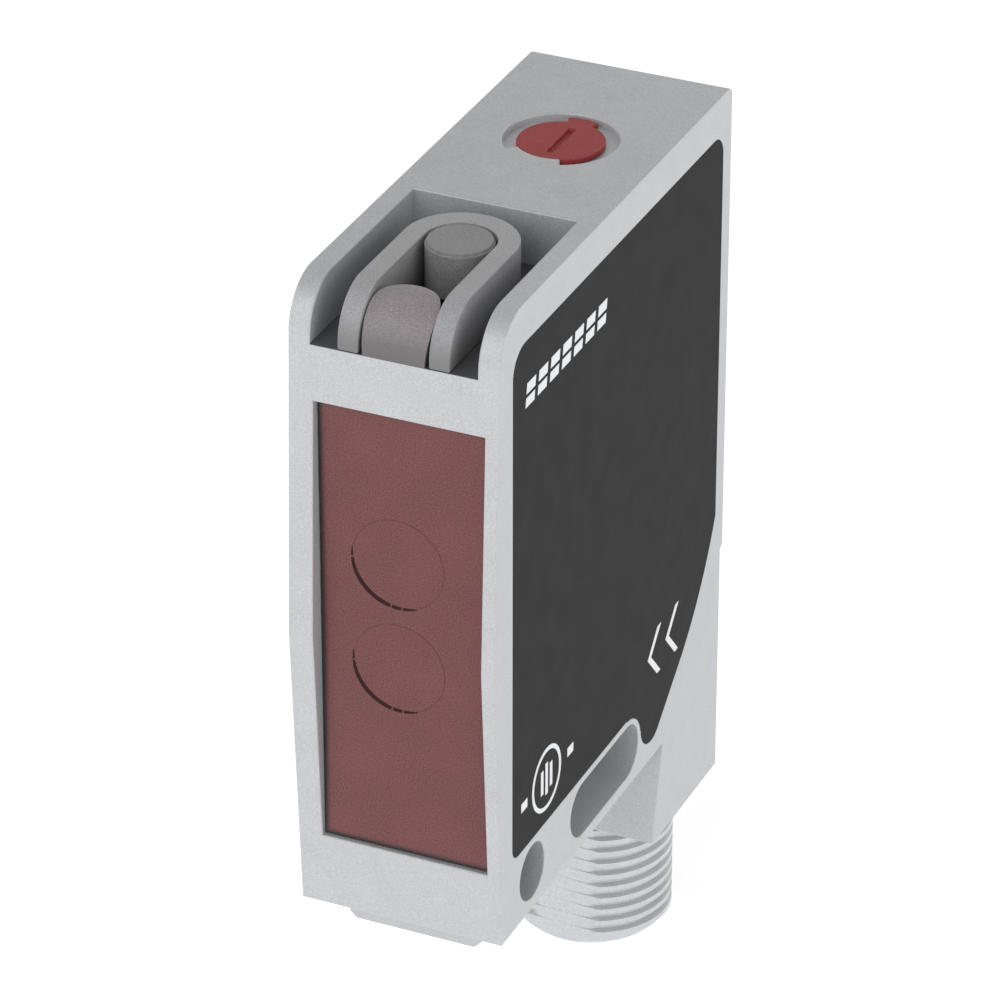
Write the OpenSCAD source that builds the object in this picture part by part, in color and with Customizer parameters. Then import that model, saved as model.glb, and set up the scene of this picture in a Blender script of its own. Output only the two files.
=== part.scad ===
// Photoelectric sensor in a die-cast housing with an M12 plug below its rear.
// X is the width, +Y points from the optical window to the back, +Z is up.
// Sizes are laid out from the middle of the width, the front edge and the underside;
// placed() then moves the origin to the centre of the round fixing hole.

/* [Housing] */
// Width of the housing
body_w = 15; // [12.5:0.5:20]
// Depth of the housing from its front edges to its back
body_d = 39.1; // [36:0.1:50]
// Height of the housing without the connector block
body_h = 47.5; // [42:0.5:60]
// Radius between the front and the top
crown_r = 3.6; // [3:0.1:4]
// Radius between the top and the back
top_rear_r = 0.7; // [0.4:0.1:1.4]
// How far the middle of the front stands proud of its top and bottom edges
front_bulge = 0.9; // [0.3:0.1:1.2]
// How far the front's bottom edge lies behind its top edge
front_rake = 0.4; // [0:0.1:0.6]
// Thickness of the side walls and of the rims beside the pocket
side_wall = 1.55; // [1.4:0.05:2]
// Thickness of the top wall
top_wall = 1.5; // [1.3:0.1:2]
// Thickness of the back wall
back_wall = 1.6; // [1.2:0.1:2.4]
// Thickness of the front wall, window included
front_wall = 3.4; // [3:0.1:4.5]
// Height of the solid base that carries the fixing holes
base_h = 7.2; // [6.6:0.1:9]
// Height of the raised pad on the back, out of the back
pad_t = 0.4; // [0.2:0.1:0.8]
// Height at which the raised pad on the back starts
pad_start = 10.6; // [8:0.2:16]

/* [Connector block] */
// Height of the connector block below the underside
block_h = 7.65; // [6:0.05:10]
// Depth of the connector block where it leaves the underside
block_d = 10.4; // [10:0.1:14]
// How much deeper the block is at its bottom, because its front leans forward
block_lean = 1.75; // [0:0.05:2]

/* [Foot] */
// Width of the low foot under the front
foot_w = 9.9; // [6:0.1:12]
// Height of the foot
foot_h = 2.25; // [1:0.05:3]
// Distance of the foot behind the front edge
foot_setback = 2.5; // [1:0.1:5]
// Length of the foot
foot_l = 21; // [12:0.5:24]

/* [Fixing holes] */
// Diameter of the round fixing hole and width of the slot
fixing_d = 4.2; // [3.4:0.1:4.6]
// Height of the fixing holes above the underside
fixing_rise = 3.05; // [2.6:0.05:3.6]
// Distance of the round hole behind the front edge
fixing_inset = 5.5; // [4:0.1:7]
// Length of the slot from end to end
slot_l = 12; // [8:0.2:13]
// Distance from the round hole to the middle of the slot
slot_offset = 12.6; // [11:0.1:13]

/* [Window and optics] */
// Thickness of the housing beside the window
window_frame = 1.38; // [1.2:0.02:2]
// Height of the bar below the window
window_sill = 5.7; // [4:0.1:8]
// Distance from the top of the housing to the top of the window
window_head = 8.1; // [7:0.1:10]
// Depth of the window face behind the front edges
window_recess = 0.4; // [0.2:0.1:0.6]
// Distance of the window's middle from the housing's middle, towards the labelled side
window_shift = 0.4; // [0:0.1:0.4]
// Thickness of the window
window_t = 1.5; // [1:0.1:1.8]
// Radius of the lenses
lens_r = 3.4; // [2.6:0.1:3.6]
// Distance between the two lens centres
lens_pitch = 7.95; // [7.6:0.05:10]
// Height of the middle of the lens pair above the middle of the window
lens_rise = 1.6; // [0:0.1:3]
// Depth of the optics block
optics_d = 13.6; // [12:0.2:15]

/* [Teach pocket] */
// Depth of the pocket below the top
pocket_depth = 4; // [3.6:0.1:5]
// Length of the pocket from the front edge
pocket_l = 16.05; // [15:0.05:17]
// Thickness of the pocket floor
pocket_floor = 1.2; // [1:0.1:1.6]
// Distance of the button centre behind the front edge
button_y = 10.45; // [10:0.05:11.4]
// Radius of the teach button
button_r = 2.35; // [1.8:0.05:2.35]
// Travel of the teach button
button_travel = 0.4; // [0.2:0.05:0.5]
// Inner radius of the button guard
guard_in_r = 2.5; // [2.5:0.05:2.8]
// Thickness of the button guard
guard_t = 1.5; // [1:0.1:1.7]
// Radius of the rounded rear end of the light guide
guide_r = 2.4; // [1.8:0.1:2.4]
// Distance of the light guide's rounded end's centre behind the front edge
guide_y = 1.6; // [1.4:0.1:3]

/* [Sensitivity dial] */
// Distance of the dial centre behind the front edge
dial_y = 27; // [24:0.1:28]
// Radius of the round recess
dial_recess_r = 4; // [3.6:0.1:4.6]
// Depth of the round recess
dial_recess_h = 0.6; // [0.5:0.05:1]
// Radius of the dial
dial_r = 3.05; // [2.6:0.05:3.2]
// Thickness of the dial
dial_t = 0.4; // [0.3:0.05:0.5]
// Reach of the dial's stop tab, from the dial centre
dial_tab_r = 3.7; // [3.4:0.05:3.8]
// Radius of the dial's stem
dial_stem_r = 1.5; // [1.2:0.1:1.6]

/* [Plug] */
// Major diameter of the plug thread
thread_d = 12; // [12:1:12]
// Pitch of the plug thread
thread_pitch = 1; // [0.75:0.25:1.5]
// Length of the threaded barrel below the connector block
barrel_l = 11.05; // [10:0.05:14]
// Distance of the plug axis in front of the back
plug_inset = 5.6; // [5.6:0.1:6.5]
// Distance of the flat on the front of the thread from the plug axis
thread_flat = 5.3; // [5.2:0.05:6]
// Radius of the barrel's shank in the housing
shank_r = 4.9; // [4.8:0.05:4.9]
// Radius of the socket in the barrel
socket_r = 4.1; // [3.9:0.05:4.15]
// Diameter of the circle that the contact pins stand on
pin_circle = 5; // [4.6:0.1:5.4]
// Radius of a contact pin
pin_r = 0.5; // [0.4:0.05:0.5]
// Number of contact pins
pin_count = 4; // [3:1:5]

/* [Label] */
// Depth of the label's recess and thickness of the label
label_t = 0.2; // [0.1:0.05:0.3]
// Distance of the label behind the front edge
label_front = 2.15; // [1.6:0.05:3]
// Distance of the label from the back
label_back = 1.05; // [0.8:0.05:3]
// Distance of the label below the top
label_head = 2.95; // [2:0.05:5]
// Height of the label's lower edge above the underside
label_foot = 5.7; // [5.5:0.05:6.2]

/* [Hidden] */
$fn = 72;
// A cut runs this far past the face that it opens
over = 1;
// Clearance of a part that drops into a recess, on each side
fit_gap = 0.07;
// Clearance of a turning or sliding stem in its hole, on the radius
run_gap = 0.05;

// Heights
floor_z = body_h - pocket_depth;
under_floor_z = floor_z - pocket_floor;
cavity_top_z = body_h - top_wall;
window_low_z = window_sill;
window_high_z = body_h - window_head;
optics_z = (window_low_z + window_high_z) / 2 + lens_rise;

// Widths, from the middle
cavity_x = body_w / 2 - side_wall;
window_x = body_w / 2 - window_frame;
side_x = body_w / 2;

// The window sits on a ledge behind its adhesive gasket
window_gasket_t = 0.3;
ledge_reach = 1.12;
window_back_y = window_recess + window_t;
ledge_y = window_back_y + window_gasket_t;

// The side opening is closed by a sheet cover on a thin gasket, under the label
cover_t = 0.55;
side_gasket_t = 0.15;
cover_ledge = 1.2;
cover_corner_r = 3;
cover_front_y = 5;
cover_back_y = body_d - 4;
cover_low_z = base_h + 1.4;
cover_high_z = under_floor_z - 1.2;
cover_x = side_x - label_t - cover_t;
cover_ledge_x = cover_x - side_gasket_t;

// Label corners and the large arc that cuts its rear lower corner
label_high_z = body_h - label_head;
label_rear_y = body_d - label_back;
label_corner_front_r = 2;
label_corner_rear_r = 1.6;
label_corner_low_r = 1;
label_arc_r = 24.2;
label_arc_y = label_rear_y - 22.3;
label_arc_z = 23.5;
label_tail_y = label_rear_y - 11.55;
label_tail_z = 3.5;
label_tail_r = 1.95;
label_tail_lean = 45;
label_notch_rim = 0.44;

// The button and its guard end level with the top; the light guide ends a little below
guide_inset = 0.4;
button_top_z = body_h;
button_low_z = floor_z + 0.2 + button_travel;
button_step_h = 0.22;
button_step = 0.13;
button_stem_r = 1.2;
button_stem_low_z = under_floor_z - 1.1;
seal_seat_h = 0.6;
seal_seat_r = 2;

// Operating board under the pocket floor, with the switch and the status lamps
ui_board_t = 0.8;
switch_h = 1.5;
plunger_r = 0.8;
plunger_h = button_travel + 0.15;
plunger_sink = 0.15;
switch_low_z = button_stem_low_z - plunger_h - switch_h;
switch_side = 3.8;
ui_board_front_y = front_wall + 0.3;
ui_board_rear_y = pocket_l + 0.7;
guide_pin_r = 0.7;
guide_pin_x = 1.1;
guide_pin_y = front_wall - 0.1;
guide_draft = 0.2;
guide_draft_h = 2.4;
lamp_h = 0.7;
lamp_side = 1;
guide_pin_gap = 0.3;
guide_pin_low_z = switch_low_z + lamp_h + guide_pin_gap;

// Dial: a thin disc in the recess, on a stem that turns the potentiometer
dial_low_z = body_h - dial_recess_h + run_gap;
dial_tab_from = 70;
dial_tab_to = 105;
stop_from = 225;
stop_to = 292;
stop_in_r = dial_r + 0.1;
driver_slot_l = 3.95;
driver_slot_w = 0.5;
driver_slot_h = 0.28;
dial_boss_h = 1.2;
dial_boss_r = 3.2;
dial_boss_z = cavity_top_z - dial_boss_h;
dial_seal_r = 2.4;
dial_seal_h = 0.8;
pot_side = 6.6;
pot_h = 4.5;
pot_low_z = dial_boss_z - pot_h;
rotor_r = dial_stem_r + 0.4;
rotor_low_z = pot_low_z + 1;
rotor_h = 3;
dial_stem_low_z = rotor_low_z + 1.5;
pot_lead_r = 0.25;
pot_lead_pitch = 1.9;
pot_lead_z = pot_low_z + 0.7;

// Optics block, behind the window's ledge
optics_front_y = ledge_y + 0.2;
optics_back_y = optics_front_y + optics_d;
optics_x = window_x - window_shift - ledge_reach - 0.1;
optics_half_h = lens_pitch / 2 + lens_r + 0.9;
lens_seat_y = optics_front_y + 2.2;
lens_edge_t = 1.1;
lens_bulge = 1;
lens_sphere_r = (lens_r * lens_r + lens_bulge * lens_bulge) / (2 * lens_bulge);
diode_r = 1.2;
diode_h = 1.8;
tube_end_r = 1.6;
optics_board_t = 0.8;
optics_board_rear_y = optics_back_y + optics_board_t;
optics_board_half_h = optics_half_h + 2.5;

// Main board along the closed side wall, on two screw bosses
board_t = 1;
board_boss_h = 0.95;
board_x = -cavity_x + board_boss_h;
board_front_y = max(ui_board_rear_y, optics_board_rear_y) + 2.4;
board_rear_y = body_d - back_wall - 0.4;
board_low_z = base_h + 1.8;
board_high_z = cavity_top_z - 1.5;
board_screw_r = 0.75;
board_screw_head_r = 1.4;
board_screw_head_h = 0.9;
board_screw_inset = 2.3;
board_boss_r = 1.8;
board_screw_l = board_t + board_boss_h + 0.8;
board_screws_at = [
    [board_front_y + board_screw_inset, board_low_z + board_screw_inset],
    [board_rear_y - board_screw_inset, board_high_z - board_screw_inset]
];
link_t = 0.5;
link_x = board_x + board_t / 2;
link_h = 8;

// Plug
plug_y = body_d - plug_inset;
block_low_z = -block_h;
barrel_low_z = block_low_z - barrel_l;
barrel_top_z = -0.5;
neck_r = 5.4;
neck_h = 1;
thread_r = thread_d / 2;
thread_depth = 0.6134 * thread_pitch;
crest_w = thread_pitch / 8;
flank_w = 5 * thread_pitch / 16;
barrel_chamfer = 0.8;
thread_turns = floor((barrel_l - neck_h - barrel_chamfer) / thread_pitch);
socket_depth = 8.4;
insert_low_z = barrel_low_z + socket_depth;
insert_h = 9;
seal_groove_h = 1.2;
seal_groove_z = block_low_z + 3;
seal_ring_r = 0.35;
pin_low_z = barrel_low_z + 1.3;
pin_high_z = insert_low_z + insert_h + 1;
key_w = 1.2;
key_h = 0.7;
wire_r = 0.3;
wire_step = 1.6;
wire_low_z = board_low_z + 4;

housing_colour = [0.78, 0.79, 0.81];
label_colour = [0.07, 0.07, 0.08];
window_colour = [0.45, 0.17, 0.17];
trim_colour = [0.36, 0.37, 0.38];
dial_colour = [0.72, 0.10, 0.10];
board_colour = [0.10, 0.36, 0.20];
black_plastic = [0.10, 0.10, 0.11];
steel_colour = [0.70, 0.71, 0.73];
gold_colour = [0.83, 0.66, 0.25];
seal_colour = [0.16, 0.16, 0.17];

// Moves a part laid out from the front edge and the underside to the final origin
module placed() {
    translate([0, -fixing_inset, -fixing_rise])
        children();
}

// Extrudes a side-view outline, drawn in Y and Z, from X = from_x to X = to_x
module across(from_x, to_x) {
    translate([from_x, 0, 0])
        rotate([90, 0, 90])
            linear_extrude(to_x - from_x)
                children();
}

// A box given by its lowest and highest corners
module block(low, high) {
    translate(low)
        cube(high - low);
}

// A rectangle with its own radius at each corner: front low, rear low, rear high, front high
module rounded_sheet(front, low, rear, high, radii) {
    corners = [[front, low, 1, 1], [rear, low, -1, 1], [rear, high, -1, -1], [front, high, 1, -1]];
    difference() {
        translate([front, low])
            square([rear - front, high - low]);
        for (i = [0:3])
            corner_cut(corners[i], radii[i]);
    }
}

// What rounding takes off one corner of a rectangle
module corner_cut(corner, r) {
    if (r > 0)
        translate([corner[0], corner[1]])
            scale_mirror(corner[2], corner[3])
                difference() {
                    translate([-over, -over])
                        square(r + over);
                    translate([r, r])
                        circle(r);
                }
}

// Mirrors its children in one or both axes
module scale_mirror(sign_y, sign_z) {
    mirror([sign_y < 0 ? 1 : 0, 0, 0])
        mirror([0, sign_z < 0 ? 1 : 0, 0])
            children();
}

// A wedge of the plane between two angles, reaching past any radius used here
module wedge(from, to) {
    reach = 12;
    middle = (from + to) / 2;
    polygon([
        [0, 0],
        [reach * cos(from), reach * sin(from)],
        [reach * cos(middle), reach * sin(middle)],
        [reach * cos(to), reach * sin(to)]
    ]);
}

// Side view of the housing, with its connector block and the raised pad on its back
module body_outline() {
    lip = 0.2;
    polygon([
        [front_rake, 0],
        [-front_bulge, (body_h - crown_r) / 2],
        [0, body_h - crown_r],
        [crown_r, body_h - crown_r],
        [crown_r, body_h],
        [body_d, body_h],
        [body_d, -block_h],
        [body_d - block_d - block_lean + lip, -block_h],
        [body_d - block_d - block_lean, -block_h + lip],
        [body_d - block_d, 0]
    ]);
    translate([crown_r, body_h - crown_r])
        circle(crown_r);
    polygon([
        [body_d - over, pad_start],
        [body_d, pad_start],
        [body_d + pad_t, pad_start + pad_t],
        [body_d + pad_t, body_h],
        [body_d - over, body_h]
    ]);
}

// What the front radius, lowered by a drop, takes off a block that stands in the pocket
module crown_cut(drop) {
    across(-cavity_x - over, cavity_x + over)
        difference() {
            translate([-over, body_h - crown_r - drop])
                square([crown_r + over, crown_r + over]);
            translate([crown_r, body_h - crown_r - drop])
                circle(crown_r);
        }
}

// Side view of the label
module label_outline() {
    notch_r = fixing_d / 2 + label_notch_rim;
    slot_end_y = fixing_inset + slot_offset + (slot_l - fixing_d) / 2;
    difference() {
        rounded_sheet(label_front, label_foot, label_rear_y, label_high_z,
            [label_corner_low_r, 0, label_corner_rear_r, label_corner_front_r]);
        difference() {
            translate([label_arc_y, label_foot - over])
                square([label_rear_y, label_arc_z - label_foot]);
            translate([label_arc_y, label_arc_z])
                circle(label_arc_r, $fn = 180);
        }
        translate([slot_end_y, fixing_rise])
            circle(notch_r);
    }
    foot_end_y = label_arc_y + sqrt(pow(label_arc_r, 2) - pow(label_arc_z - label_foot, 2));
    difference() {
        polygon(concat(
            [[slot_end_y, label_foot + over], [slot_end_y, label_tail_z]],
            [for (turn = [180 : 9 : 270 + label_tail_lean])
                [label_tail_y + label_tail_r * cos(turn), label_tail_z + label_tail_r * sin(turn)]],
            [[foot_end_y, label_foot], [foot_end_y - over, label_foot + over]]
        ));
        translate([slot_end_y, fixing_rise])
            circle(notch_r);
    }
}

// Side view of the sheet cover, larger by grow all round
module cover_outline(grow) {
    corner = cover_corner_r + grow;
    rounded_sheet(cover_front_y - grow, cover_low_z - grow, cover_back_y + grow, cover_high_z + grow,
        [corner, corner, corner, corner]);
}

// The round fixing hole and the slot, through the whole width
module fixing_cuts() {
    r = fixing_d / 2;
    half = (slot_l - fixing_d) / 2;
    translate([0, fixing_inset, fixing_rise])
        rotate([0, 90, 0])
            cylinder(r = r, h = body_w + 2 * over, center = true);
    for (end = [-half, half])
        translate([0, fixing_inset + slot_offset + end, fixing_rise])
            rotate([0, 90, 0])
                cylinder(r = r, h = body_w + 2 * over, center = true);
    translate([0, fixing_inset + slot_offset, fixing_rise])
        cube([body_w + 2 * over, 2 * half, fixing_d], center = true);
}

// Round recess for the dial, without the fixed stop that fills part of its ring
module dial_recess() {
    translate([0, dial_y, body_h - dial_recess_h])
        difference() {
            cylinder(r = dial_recess_r, h = dial_recess_h + over);
            translate([0, 0, -over])
                linear_extrude(dial_recess_h + over)
                    difference() {
                        intersection() {
                            circle(dial_recess_r + over);
                            wedge(stop_from, stop_to);
                        }
                        circle(stop_in_r);
                    }
        }
}

// Space inside the housing for the optics and the boards
module cavity() {
    block([-cavity_x, front_wall, base_h], [cavity_x, body_d - back_wall, under_floor_z]);
    block([-cavity_x, pocket_l + side_wall, base_h], [cavity_x, body_d - back_wall, cavity_top_z]);
}

// Low foot under the front, with chamfered lower edges
module foot() {
    edge = 0.5;
    translate([0, foot_setback + foot_l, 0])
        rotate([90, 0, 0])
            linear_extrude(foot_l)
                polygon([
                    [-foot_w / 2, over],
                    [-foot_w / 2, edge - foot_h],
                    [edge - foot_w / 2, -foot_h],
                    [foot_w / 2 - edge, -foot_h],
                    [foot_w / 2, edge - foot_h],
                    [foot_w / 2, over]
                ]);
}

// Holes in the pocket floor for the button stem, its seal and the light guide's pins
module pocket_floor_cuts() {
    translate([0, button_y, under_floor_z - over])
        cylinder(r = button_stem_r + run_gap, h = pocket_floor + 2 * over);
    translate([0, button_y, floor_z - seal_seat_h])
        cylinder(r = seal_seat_r, h = seal_seat_h + over);
    for (x = [-guide_pin_x, guide_pin_x])
        translate([x, guide_pin_y, guide_pin_low_z - run_gap])
            cylinder(r = guide_pin_r + fit_gap, h = floor_z + over - guide_pin_low_z);
}

module housing() {
    color(housing_colour)
        placed()
            difference() {
                union() {
                    difference() {
                        across(-side_x, side_x)
                            body_outline();
                        cavity();
                    }
                    foot();
                    translate([0, dial_y, dial_boss_z])
                        cylinder(r = dial_boss_r, h = dial_boss_h + over / 2);
                    for (at = board_screws_at)
                        translate([-cavity_x - over / 2, at[0], at[1]])
                            rotate([0, 90, 0])
                                cylinder(r = board_boss_r, h = board_boss_h + over / 2);
                }
                block([-cavity_x, -front_bulge - over, floor_z], [cavity_x, pocket_l, body_h + over]);
                pocket_floor_cuts();
                translate([window_shift, 0, 0]) {
                    block([-window_x, -front_bulge - over, window_low_z], [window_x, ledge_y, window_high_z]);
                    block([ledge_reach - window_x, 0, window_low_z + ledge_reach],
                        [window_x - ledge_reach, front_wall + over / 2, window_high_z - ledge_reach]);
                }
                across(-side_x - over, side_x + over)
                    corner_cut([body_d + pad_t, body_h, -1, -1], top_rear_r);
                across(side_x - label_t, side_x + over)
                    label_outline();
                across(cover_ledge_x, side_x)
                    cover_outline(fit_gap);
                across(cavity_x - over, side_x)
                    cover_outline(-cover_ledge);
                dial_recess();
                translate([0, dial_y, dial_boss_z - over])
                    cylinder(r = dial_seal_r, h = dial_seal_h + over);
                translate([0, dial_y, dial_boss_z])
                    cylinder(r = dial_stem_r + run_gap, h = body_h);
                for (at = board_screws_at)
                    translate([board_x + board_t - board_screw_l, at[0], at[1]])
                        rotate([0, 90, 0])
                            cylinder(r = board_screw_r, h = board_screw_l);
                translate([0, plug_y, block_low_z - over])
                    cylinder(r = shank_r + run_gap, h = block_h + base_h + 2 * over);
                fixing_cuts();
            }
}

module side_cover() {
    color(steel_colour)
        placed()
            across(cover_x, side_x - label_t)
                cover_outline(0);
}

module side_gasket() {
    color(seal_colour)
        placed()
            across(cover_ledge_x, cover_x)
                difference() {
                    cover_outline(0);
                    cover_outline(-cover_ledge);
                }
}

module side_label() {
    color(label_colour)
        placed()
            across(side_x - label_t, side_x)
                label_outline();
}

module front_window() {
    color(window_colour)
        placed()
            translate([window_shift, 0, 0])
                block([fit_gap - window_x, window_recess, window_low_z + fit_gap],
                    [window_x - fit_gap, window_back_y, window_high_z - fit_gap]);
}

module window_gasket() {
    color(seal_colour)
        placed()
            translate([window_shift, 0, 0])
                difference() {
                    block([fit_gap - window_x, window_back_y, window_low_z + fit_gap],
                        [window_x - fit_gap, ledge_y, window_high_z - fit_gap]);
                    block([ledge_reach - window_x, 0, window_low_z + ledge_reach],
                        [window_x - ledge_reach, front_wall, window_high_z - ledge_reach]);
                }
}

// Puts its children on each lens axis, with +Z of the child pointing to the back
module on_lens_axis(side) {
    translate([0, 0, optics_z + side * lens_pitch / 2])
        rotate([-90, 0, 0])
            children();
}

module lens_holder() {
    color(black_plastic)
        placed()
            difference() {
                block([-optics_x, optics_front_y, optics_z - optics_half_h],
                    [optics_x, optics_back_y, optics_z + optics_half_h]);
                for (side = [-1, 1])
                    on_lens_axis(side)
                        lens_tube();
            }
}

// Bore of the holder: the lens seat, the cone behind it and the diode's hole
module lens_tube() {
    cone_end_y = optics_back_y - diode_h - 0.4;
    translate([0, 0, optics_front_y - over])
        cylinder(r = lens_r + run_gap, h = lens_seat_y - optics_front_y + over);
    translate([0, 0, lens_seat_y - 0.01])
        cylinder(r1 = lens_r - 0.4, r2 = tube_end_r, h = cone_end_y - lens_seat_y + 0.01);
    translate([0, 0, cone_end_y - 0.01])
        cylinder(r = tube_end_r, h = optics_back_y - cone_end_y + over);
}

// Plano-convex lens: flat on its seat, domed to the window
module lens() {
    dome_y = lens_seat_y - lens_edge_t;
    translate([0, 0, dome_y])
        cylinder(r = lens_r, h = lens_edge_t);
    intersection() {
        translate([0, 0, dome_y - lens_bulge + lens_sphere_r])
            sphere(r = lens_sphere_r);
        translate([0, 0, dome_y - 2 * lens_bulge])
            cylinder(r = lens_r, h = 2 * lens_bulge + 0.01);
    }
}

module emitter_lens() {
    color([0.80, 0.82, 0.84])
        placed()
            on_lens_axis(1)
                lens();
}

module receiver_lens() {
    color([0.80, 0.82, 0.84])
        placed()
            on_lens_axis(-1)
                lens();
}

module emitter_led() {
    color([0.85, 0.30, 0.28])
        placed()
            on_lens_axis(1) {
                translate([0, 0, optics_back_y - diode_h / 2])
                    cylinder(r = diode_r, h = diode_h / 2);
                translate([0, 0, optics_back_y - diode_h / 2])
                    sphere(r = diode_h / 2);
            }
}

module receiver_diode() {
    window_r = 0.7;
    color([0.14, 0.14, 0.18])
        placed()
            on_lens_axis(-1) {
                translate([0, 0, optics_back_y - diode_h / 3])
                    cylinder(r = diode_r, h = diode_h / 3);
                translate([0, 0, optics_back_y - diode_h / 2])
                    cylinder(r = window_r, h = diode_h / 2);
            }
}

module optics_board() {
    board_half_w = cavity_x - 0.5;
    color(board_colour)
        placed()
            block([-board_half_w, optics_back_y, optics_z - optics_board_half_h],
                [board_half_w, optics_board_rear_y, optics_z + optics_board_half_h]);
}

// An upright block with straight sides to the front and a round rear end
module round_ended(r, y, front_y, low_z, high_z) {
    block([-r, front_y, low_z], [r, y, high_z]);
    translate([0, y, low_z])
        cylinder(r = r, h = high_z - low_z);
}

module button_guard() {
    color(trim_colour)
        placed()
            difference() {
                round_ended(guard_in_r + guard_t, button_y, 0, floor_z, body_h);
                round_ended(guard_in_r, button_y, -over, floor_z - over, body_h + over);
                crown_cut(0);
            }
}

module teach_button() {
    color([0.50, 0.51, 0.52])
        placed()
            translate([0, button_y, 0]) {
                translate([0, 0, button_low_z])
                    cylinder(r = button_r, h = button_top_z - button_step_h - button_low_z);
                translate([0, 0, button_low_z])
                    cylinder(r = button_r - button_step, h = button_top_z - button_low_z);
                translate([0, 0, button_stem_low_z])
                    cylinder(r = button_stem_r, h = button_low_z - button_stem_low_z + 0.1);
            }
}

module button_seal() {
    color(seal_colour)
        placed()
            translate([0, button_y, floor_z - seal_seat_h])
                difference() {
                    cylinder(r = seal_seat_r, h = seal_seat_h - 0.1);
                    translate([0, 0, -over])
                        cylinder(r = button_stem_r + run_gap, h = seal_seat_h + 2 * over);
                }
}

module switch_plunger() {
    color([0.85, 0.85, 0.82])
        placed()
            translate([0, button_y, switch_low_z + switch_h - plunger_sink])
                cylinder(r = plunger_r, h = plunger_h + plunger_sink);
}

module tact_switch() {
    well_h = plunger_sink + button_travel + 0.2;
    color(black_plastic)
        placed()
            difference() {
                translate([-switch_side / 2, button_y - switch_side / 2, switch_low_z])
                    cube([switch_side, switch_side, switch_h]);
                translate([0, button_y, switch_low_z + switch_h - well_h])
                    cylinder(r = plunger_r + run_gap, h = well_h + over);
            }
}

// What the draft takes off one side of the light guide's foot
module guide_side_draft(side) {
    translate([0, guide_y, 0])
        rotate([90, 0, 0])
            linear_extrude(guide_y + over)
                polygon([
                    [side * (guide_r - guide_draft), floor_z],
                    [side * (guide_r - guide_draft), floor_z - over],
                    [side * (guide_r + over), floor_z - over],
                    [side * (guide_r + over), floor_z + guide_draft_h],
                    [side * guide_r, floor_z + guide_draft_h]
                ]);
}

module light_guide() {
    color([0.78, 0.72, 0.72])
        placed() {
            difference() {
                round_ended(guide_r, guide_y, 0, floor_z, body_h - guide_inset);
                crown_cut(guide_inset);
                for (side = [-1, 1])
                    guide_side_draft(side);
            }
            for (x = [-guide_pin_x, guide_pin_x])
                translate([x, guide_pin_y, guide_pin_low_z])
                    cylinder(r = guide_pin_r, h = floor_z - guide_pin_low_z + 0.1);
        }
}

module status_leds() {
    color([0.95, 0.90, 0.55])
        placed()
            for (x = [-guide_pin_x, guide_pin_x])
                translate([x - lamp_side / 2, ui_board_front_y, switch_low_z])
                    cube([lamp_side, lamp_side, lamp_h]);
}

module ui_board() {
    board_half_w = cavity_x - 0.45;
    color(board_colour)
        placed()
            block([-board_half_w, ui_board_front_y, switch_low_z - ui_board_t],
                [board_half_w, ui_board_rear_y, switch_low_z]);
}

module ui_link() {
    color(black_plastic)
        placed()
            block([link_x - link_t / 2, ui_board_rear_y, switch_low_z - ui_board_t],
                [link_x + link_t / 2, board_front_y, switch_low_z]);
}

module dial() {
    color(dial_colour)
        placed()
            translate([0, dial_y, 0]) {
                difference() {
                    translate([0, 0, dial_low_z])
                        linear_extrude(dial_t)
                            union() {
                                circle(dial_r);
                                intersection() {
                                    circle(dial_tab_r);
                                    wedge(dial_tab_from, dial_tab_to);
                                }
                            }
                    translate([-driver_slot_w / 2, -driver_slot_l / 2, dial_low_z + dial_t - driver_slot_h])
                        cube([driver_slot_w, driver_slot_l, driver_slot_h + over]);
                }
                translate([0, 0, dial_stem_low_z])
                    cylinder(r = dial_stem_r, h = dial_low_z + 0.05 - dial_stem_low_z);
            }
}

module dial_seal() {
    color(seal_colour)
        placed()
            translate([0, dial_y, dial_boss_z])
                difference() {
                    cylinder(r = dial_seal_r, h = dial_seal_h);
                    translate([0, 0, -over])
                        cylinder(r = dial_stem_r + run_gap, h = dial_seal_h + 2 * over);
                }
}

module pot_rotor() {
    color([0.88, 0.88, 0.84])
        placed()
            translate([0, dial_y, rotor_low_z])
                difference() {
                    cylinder(r = rotor_r, h = rotor_h);
                    translate([0, 0, dial_stem_low_z - rotor_low_z])
                        cylinder(r = dial_stem_r, h = rotor_h);
                }
}

module pot_body() {
    color([0.20, 0.28, 0.50])
        placed()
            translate([0, dial_y, 0])
                difference() {
                    translate([-pot_side / 2, -pot_side / 2, pot_low_z])
                        cube([pot_side, pot_side, pot_h]);
                    translate([0, 0, rotor_low_z - run_gap])
                        cylinder(r = rotor_r + run_gap, h = rotor_h + 2 * run_gap);
                    translate([0, 0, rotor_low_z])
                        cylinder(r = dial_stem_r + run_gap, h = pot_h);
                }
}

module pot_leads() {
    color(steel_colour)
        placed()
            for (i = [-1:1])
                translate([board_x + board_t, dial_y + i * pot_lead_pitch, pot_lead_z])
                    rotate([0, 90, 0])
                        cylinder(r = pot_lead_r, h = -pot_side / 2 - board_x - board_t);
}

module main_board() {
    color(board_colour)
        placed()
            difference() {
                block([board_x, board_front_y, board_low_z], [board_x + board_t, board_rear_y, board_high_z]);
                for (at = board_screws_at)
                    translate([board_x - over, at[0], at[1]])
                        rotate([0, 90, 0])
                            cylinder(r = board_screw_r + run_gap, h = board_t + 2 * over);
            }
}

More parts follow.
